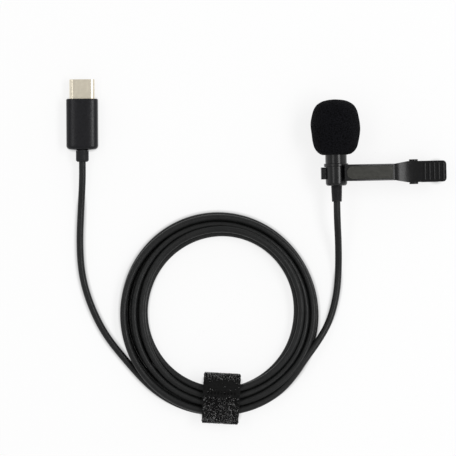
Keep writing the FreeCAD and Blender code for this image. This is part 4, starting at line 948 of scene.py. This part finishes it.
# Each loop of the pile is a tube of these rings and sides
LOOP_RINGS = 6
LOOP_SIDES = 3
LOOP_POINTS = LOOP_RINGS * LOOP_SIDES
class MICROPHONE_OT_tie(bpy.types.Operator):
    """Wrap the woven strap round the coil and raise its fine loops"""
    bl_idname = "microphone.tie"
    bl_label = "Tie"

    def execute(self, context):
        settings = context.scene.tie_settings
        low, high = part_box("tie_strap")
        path, outward = self.strap_line(settings, low.z, high.z)
        strap = self.weave_strap(settings, path, outward)
        strap.data.materials.append(woven_finish("strap_weave", settings.colour, 0.5 * MM, "stitch_with_painted_shade"))
        loops, painted_light_loops = self.raise_loops(settings, path, outward)
        loops.data.materials.append(fibre_finish("pile_fibres", settings.pile_colour, 0.0))
        loops.data.materials.append(fibre_finish("fringe_fibres_painted_light", settings.fringe_painted_light_colour, 0.12))
        # new_piece merges points, so these counts drift and the bright finish, painted light on the loops,
        # spreads all over the strap
        finishes = [painted_light_loops[face.vertices[0] // LOOP_POINTS] for face in loops.data.polygons]
        loops.data.polygons.foreach_set("material_index", finishes)
        for piece in (strap, loops):
            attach(piece, "microphone")
        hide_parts("tie_strap")
        return {"FINISHED"}

    def strap_line(self, settings, bottom, top):
        """The strap's middle line, as (away from the coil's centre, height), and which way its outside faces.

        It runs from the lapped end round the inner bend, under the bundle, round the outer bend and back over
        the top: two half circles joined by straight stretches, evenly stepped.
        """
        half = settings.span / 2
        thick = settings.thickness
        below_top, layer_gap, tuck = 0.05 * MM, 0.06 * MM, 1.2 * MM
        lapped = top - thick / 2 - below_top
        under = bottom + thick / 2
        over = lapped - thick - layer_gap
        inner = (lapped - under) / 2
        outer = (over - under) / 2
        inner_middle = inner + thick / 2 - half
        outer_middle = half - outer - thick / 2
        stretches = (
            settings.overlap - half - inner_middle, math.pi * inner, outer_middle - inner_middle,
            math.pi * outer, outer_middle - inner_middle + tuck,
        )
        begins = np.concatenate([[0], np.cumsum(stretches)])
        place = np.linspace(0, begins[-1], round(begins[-1] / STRAP_STEP))
        gone = place - begins[:-1, None]
        first, second = gone[1] / inner, gone[3] / outer
        within = [place < begin for begin in begins[1:-1]]
        away = np.select(within, [
            settings.overlap - half - gone[0], inner_middle - inner * np.sin(first), inner_middle + gone[2],
            outer_middle + outer * np.sin(second),
        ], outer_middle - gone[4])
        height = np.select(within, [
            0 * place + lapped, under + inner + inner * np.cos(first), 0 * place + under,
            under + outer - outer * np.cos(second),
        ], over)
        path = np.stack([away, height], -1)
        heading = np.gradient(path, axis=0)
        heading /= np.linalg.norm(heading, axis=1, keepdims=True)
        return path, np.stack([heading[:, 1], -heading[:, 0]], -1)

    def weave_strap(self, settings, path, outward):
        """A slab between half ellipses: it rises where ribs and threads cross, and its edges wander."""
        half = settings.width / 2
        level = settings.thickness / 2
        edge, margin = 0.42 * MM, 1.0 * MM
        relief, shrink, sunk, ragged = 0.03 * MM, 0.06 * MM, 0.3 * MM, 0.012
        rib_pitch, thread_pitch, stitch_pitch = 0.88 * MM, 0.98 * MM, 1.1 * MM
        side = np.linspace(edge - half, half - edge, 50)
        bend = np.linspace(-math.pi / 2, math.pi / 2, 9)[1:-1]
        bulge = half - edge + edge * np.cos(bend)
        curve = level * np.sin(bend)
        across = np.concatenate([side, bulge[::-1], side[::-1], -bulge])
        up = np.concatenate([0 * side + level, curve[::-1], 0 * side - level, curve])
        station = np.arange(len(path))[:, None] * STRAP_STEP
        grid = np.stack([across + 0 * station, station + 0 * across, 0 * station + up], -1)
        rib = np.cos(station * FULL_TURN / rib_pitch) * np.cos(across * FULL_TURN / thread_pitch)
        lumps = ripple(grid, 1.6 * MM, 21)
        row = np.exp(-((station - 1.9 * MM) / (0.45 * MM)) ** 2)
        stitch_with_painted_shade = row * smooth_step(np.cos(across * FULL_TURN / stitch_pitch), -0.5, 0.5)
        stitch_with_painted_shade = stitch_with_painted_shade * (up > 0) * (np.abs(across) < half - margin)
        lift = up / level * (relief * rib + relief * lumps) - sunk * stitch_with_painted_shade - shrink * up / level
        wander = 1 + ragged * ripple(np.stack([0 * station, station, 0 * station], -1), 2.4 * MM, 23)
        spread = across * wander * (1 - ragged)
        away = path[:, 0, None] + outward[:, 0, None] * (up + lift)
        height = path[:, 1, None] + outward[:, 1, None] * (up + lift)
        strap = ringed("strap", laid("tie_strap", settings.heading, spread, -away, height))
        # The stitch mask sinks the strap and, as an attribute, darkens its weave: painted shade in the sunk
        # rows
        strap.data.attributes.new("stitch_with_painted_shade", "FLOAT", "POINT").data.foreach_set("value", stitch_with_painted_shade.ravel())
        return strap

    def raise_loops(self, settings, path, outward):
        """Thin arches of thread on the strap's outside: a half wave of height over a short level run.

        They stand thick and long where the strap bends, fine at the lapped end, and low elsewhere. Their
        numbers and heights are each a least value and what a bend, the end and the open pile add to it.
        """
        source = np.random.default_rng(31)
        away, height = path.T
        upper = height > 0.5 * height.max()
        station = np.arange(len(path)) * STRAP_STEP
        lapped = station < settings.overlap
        fringe = smooth_step(np.abs(away), 5.2 * MM, 7.4 * MM) * upper
        tip = np.exp(-(station / (0.5 * MM)) ** 2)
        open_pile = (~lapped & upper & (away > 0)).astype(float)
        weight = 0.05 + 1.5 * fringe + 0.9 * tip + 0.6 * open_pile
        count = settings.fibres
        root = source.choice(len(path), count, p=weight / weight.sum())
        across = source.uniform(-1, 1, count) * (settings.width / 2 - 0.35 * MM)
        tall = (0.12 + 0.26 * fringe[root] + 0.1 * tip[root]) * source.uniform(0.5, 1.0, count) * MM
        run = source.uniform(0.25, 0.6, count) * MM
        along_strap = math.pi / 2 + source.normal(0, 0.45, count)
        heading = np.where(fringe[root] > 0.2, along_strap, source.uniform(0, FULL_TURN, count))
        lean = source.normal(0, 0.12, (count, 2)) * MM
        share = np.linspace(0, 1, LOOP_RINGS)[:, None]
        wave = np.sin(math.pi * share)
        sideways = across + run * np.cos(heading) * (share - 0.5) + lean[:, 0] * wave
        onwards = run * np.sin(heading) * (share - 0.5) + lean[:, 1] * wave
        thread, sunk, lowest = 0.03 * MM, 0.08 * MM, 0.1 * MM
        turn = circle(LOOP_SIDES)[:, None, None]
        up = tall * wave + settings.thickness / 2 - sunk + thread * np.sin(turn)
        sideways = sideways - thread * np.cos(turn) * np.sin(heading)
        onwards = onwards + thread * np.cos(turn) * np.cos(heading)
        along = np.stack([outward[:, 1], -outward[:, 0]], -1)[root]
        out = away[root] + outward[root, 0] * up + along[:, 0] * onwards
        high = np.maximum(height[root] + outward[root, 1] * up + along[:, 1] * onwards, lowest)
        points = laid("tie_strap", settings.heading, sideways, -out, high).transpose(2, 1, 0, 3)
        one = grid_faces(LOOP_RINGS, LOOP_SIDES, False, True)
        faces = (one[None] + np.arange(count)[:, None, None] * LOOP_POINTS).reshape(-1, 4)
        loops = new_piece("strap_loops", points, faces)
        # Loops at the bends and the lapped end take the bright finish: painted light on the loops
        painted_light_loops = source.uniform(0, 1, count) < 0.55 * fringe[root] + 0.5 * tip[root]
        return loops, painted_light_loops.astype(int).tolist()


class MICROPHONE_OT_declare_cord(bpy.types.Operator):
    """Does nothing: it returns at once"""
    bl_idname = "microphone.declare_cord"
    bl_label = "Cord's facts"

    def execute(self, context):
        return {"FINISHED"}


# Stage

VIEW_CENTRE = (-0.04965, -0.02463)
LAMP_SIZE = (0.3, 0.9)
LEFT_PLACE = (-0.58, 0.12, 0.92)
RIGHT_PLACE = (0.56, 0.02, 0.92)
LEFT_SHARE = 0.3
FLOOR_REACH = 4.0
# Reach of the painted contact shade that ambient occlusion puts in the floor's glow
SHADE_REACH = 1.3 * MM


def side_lamp(name, power, place):
    data = bpy.data.lights.new(name, "AREA")
    data.shape = "RECTANGLE"
    data.size, data.size_y = LAMP_SIZE
    data.energy = power
    lamp = linked(name, data)
    lamp.location = place
    aim = Vector((*VIEW_CENTRE, 0))
    lamp.rotation_euler = (aim - Vector(place)).to_track_quat("-Z", "X").to_euler()


def seen_directly(tree):
    """One where a ray comes from the camera, a mirror surface or glass, and nought elsewhere."""
    rays = tree.nodes.new("ShaderNodeLightPath").outputs
    direct = combined(tree, rays["Is Camera Ray"], rays["Is Glossy Ray"], "MAXIMUM")
    return combined(tree, direct, rays["Is Transmission Ray"], "MAXIMUM")


class MICROPHONE_OT_stage(bpy.types.Operator):
    """Set the camera, the pale floor, the lamps and the world"""
    bl_idname = "microphone.stage"
    bl_label = "Stage"

    def execute(self, context):
        settings = context.scene.stage_settings
        scene = context.scene
        scene.view_settings.view_transform = "Standard"
        data = bpy.data.cameras.new("overhead")
        data.lens = data.sensor_width * settings.view_height / settings.view_width
        data.clip_end = 20
        camera = linked("overhead", data)
        camera.location = (*VIEW_CENTRE, settings.view_height)
        camera.rotation_euler = (0, 0, settings.view_turn)
        scene.camera = camera

        corners = np.array([(-1, -1, 0), (1, -1, 0), (1, 1, 0), (-1, 1, 0)]) * FLOOR_REACH
        floor = new_piece("floor", corners, np.array([(0, 1, 2, 3)]), smooth=False)
        floor.data.materials.append(self.floor_finish(settings))

        side_lamp("left_softbox", settings.lamp_power * LEFT_SHARE, LEFT_PLACE)
        side_lamp("right_softbox", settings.lamp_power, RIGHT_PLACE)
        self.light_world(scene)
        return {"FINISHED"}

    def floor_finish(self, settings):
        """Diffuse for light, and mostly its own white glow where it is seen, so that shadows stay faint.
        Ambient occlusion darkens the glow near the pieces: painted shade in the gaps and at the contacts.
        """
        material = bpy.data.materials.new("pale_floor")
        material.use_nodes = True
        tree = material.node_tree
        tree.nodes.clear()
        diffuse = added(tree, "ShaderNodeBsdfDiffuse", color=(*settings.floor_colour, 1))
        # Ambient occlusion darkens the glow near the pieces: painted contact shade
        painted_contact_shade = added(tree, "ShaderNodeAmbientOcclusion", distance=SHADE_REACH)
        glow = added(tree, "ShaderNodeEmission", color=painted_contact_shade.outputs["Color"])
        share = tree.nodes.new("ShaderNodeMath")
        share.operation = "MULTIPLY"
        share.inputs[1].default_value = 0.8
        tree.links.new(seen_directly(tree), share.inputs[0])
        mixed = tree.nodes.new("ShaderNodeMixShader")
        for socket, source in enumerate((share, diffuse, glow)):
            tree.links.new(source.outputs[0], mixed.inputs[socket])
        added(tree, "ShaderNodeOutputMaterial", surface=mixed.outputs["Shader"])
        return material

    def light_world(self, scene):
        """Pale at the horizon and dim overhead, as a room round a lit table."""
        world = bpy.data.worlds.new("studio")
        world.use_nodes = True
        tree = world.node_tree
        direction = tree.nodes.new("ShaderNodeTexCoord").outputs["Generated"]
        height = added(tree, "ShaderNodeSeparateXYZ", vector=direction).outputs["Z"]
        sky = ramp(tree, height, (0.12, (1, 1, 1)), (0.55, (0.5, 0.5, 0.5)))
        tree.links.new(sky, tree.nodes["Background"].inputs["Color"])
        scene.world = world
# The add-on's panel and registration

MAKERS = (
    MICROPHONE_OT_stage, MICROPHONE_OT_cord, MICROPHONE_OT_windscreen, MICROPHONE_OT_barrel,
    MICROPHONE_OT_capsule, MICROPHONE_OT_clip, MICROPHONE_OT_spring, MICROPHONE_OT_plug,
    MICROPHONE_OT_tie, MICROPHONE_OT_declare_cord,
)
SETTINGS = {
    "stage_settings": StageSettings,
    "cord_settings": CordSettings,
    "foam_settings": FoamSettings,
    "microphone_settings": MicrophoneSettings,
    "clip_settings": ClipSettings,
    "plug_settings": PlugSettings,
    "tie_settings": TieSettings,
}


class MICROPHONE_PT_panel(bpy.types.Panel):
    """Lists the pieces to make and their sizes and colours"""
    bl_idname = "MICROPHONE_PT_panel"
    bl_label = "Lavalier Microphone"
    bl_space_type = "VIEW_3D"
    bl_region_type = "UI"
    bl_category = "Microphone"

    def draw(self, context):
        for maker in MAKERS:
            self.layout.operator(maker.bl_idname)
        for name, settings in SETTINGS.items():
            box = self.layout.box()
            for entry in settings.__annotations__:
                box.prop(getattr(context.scene, name), entry)


def register():
    for group in SETTINGS.values():
        bpy.utils.register_class(group)
    for maker in MAKERS:
        bpy.utils.register_class(maker)
    bpy.utils.register_class(MICROPHONE_PT_panel)
    for name, group in SETTINGS.items():
        setattr(bpy.types.Scene, name, PointerProperty(type=group))


def unregister():
    for name in SETTINGS:
        delattr(bpy.types.Scene, name)
    bpy.utils.unregister_class(MICROPHONE_PT_panel)
    for maker in reversed(MAKERS):
        bpy.utils.unregister_class(maker)
    for group in reversed(SETTINGS.values()):
        bpy.utils.unregister_class(group)


def main():
    """Make every piece in order."""
    register()
    for maker in MAKERS:
        group, name = maker.bl_idname.split(".")
        getattr(getattr(bpy.ops, group), name)()
    bpy.context.view_layer.update()


if __name__ == "__main__":
    main()
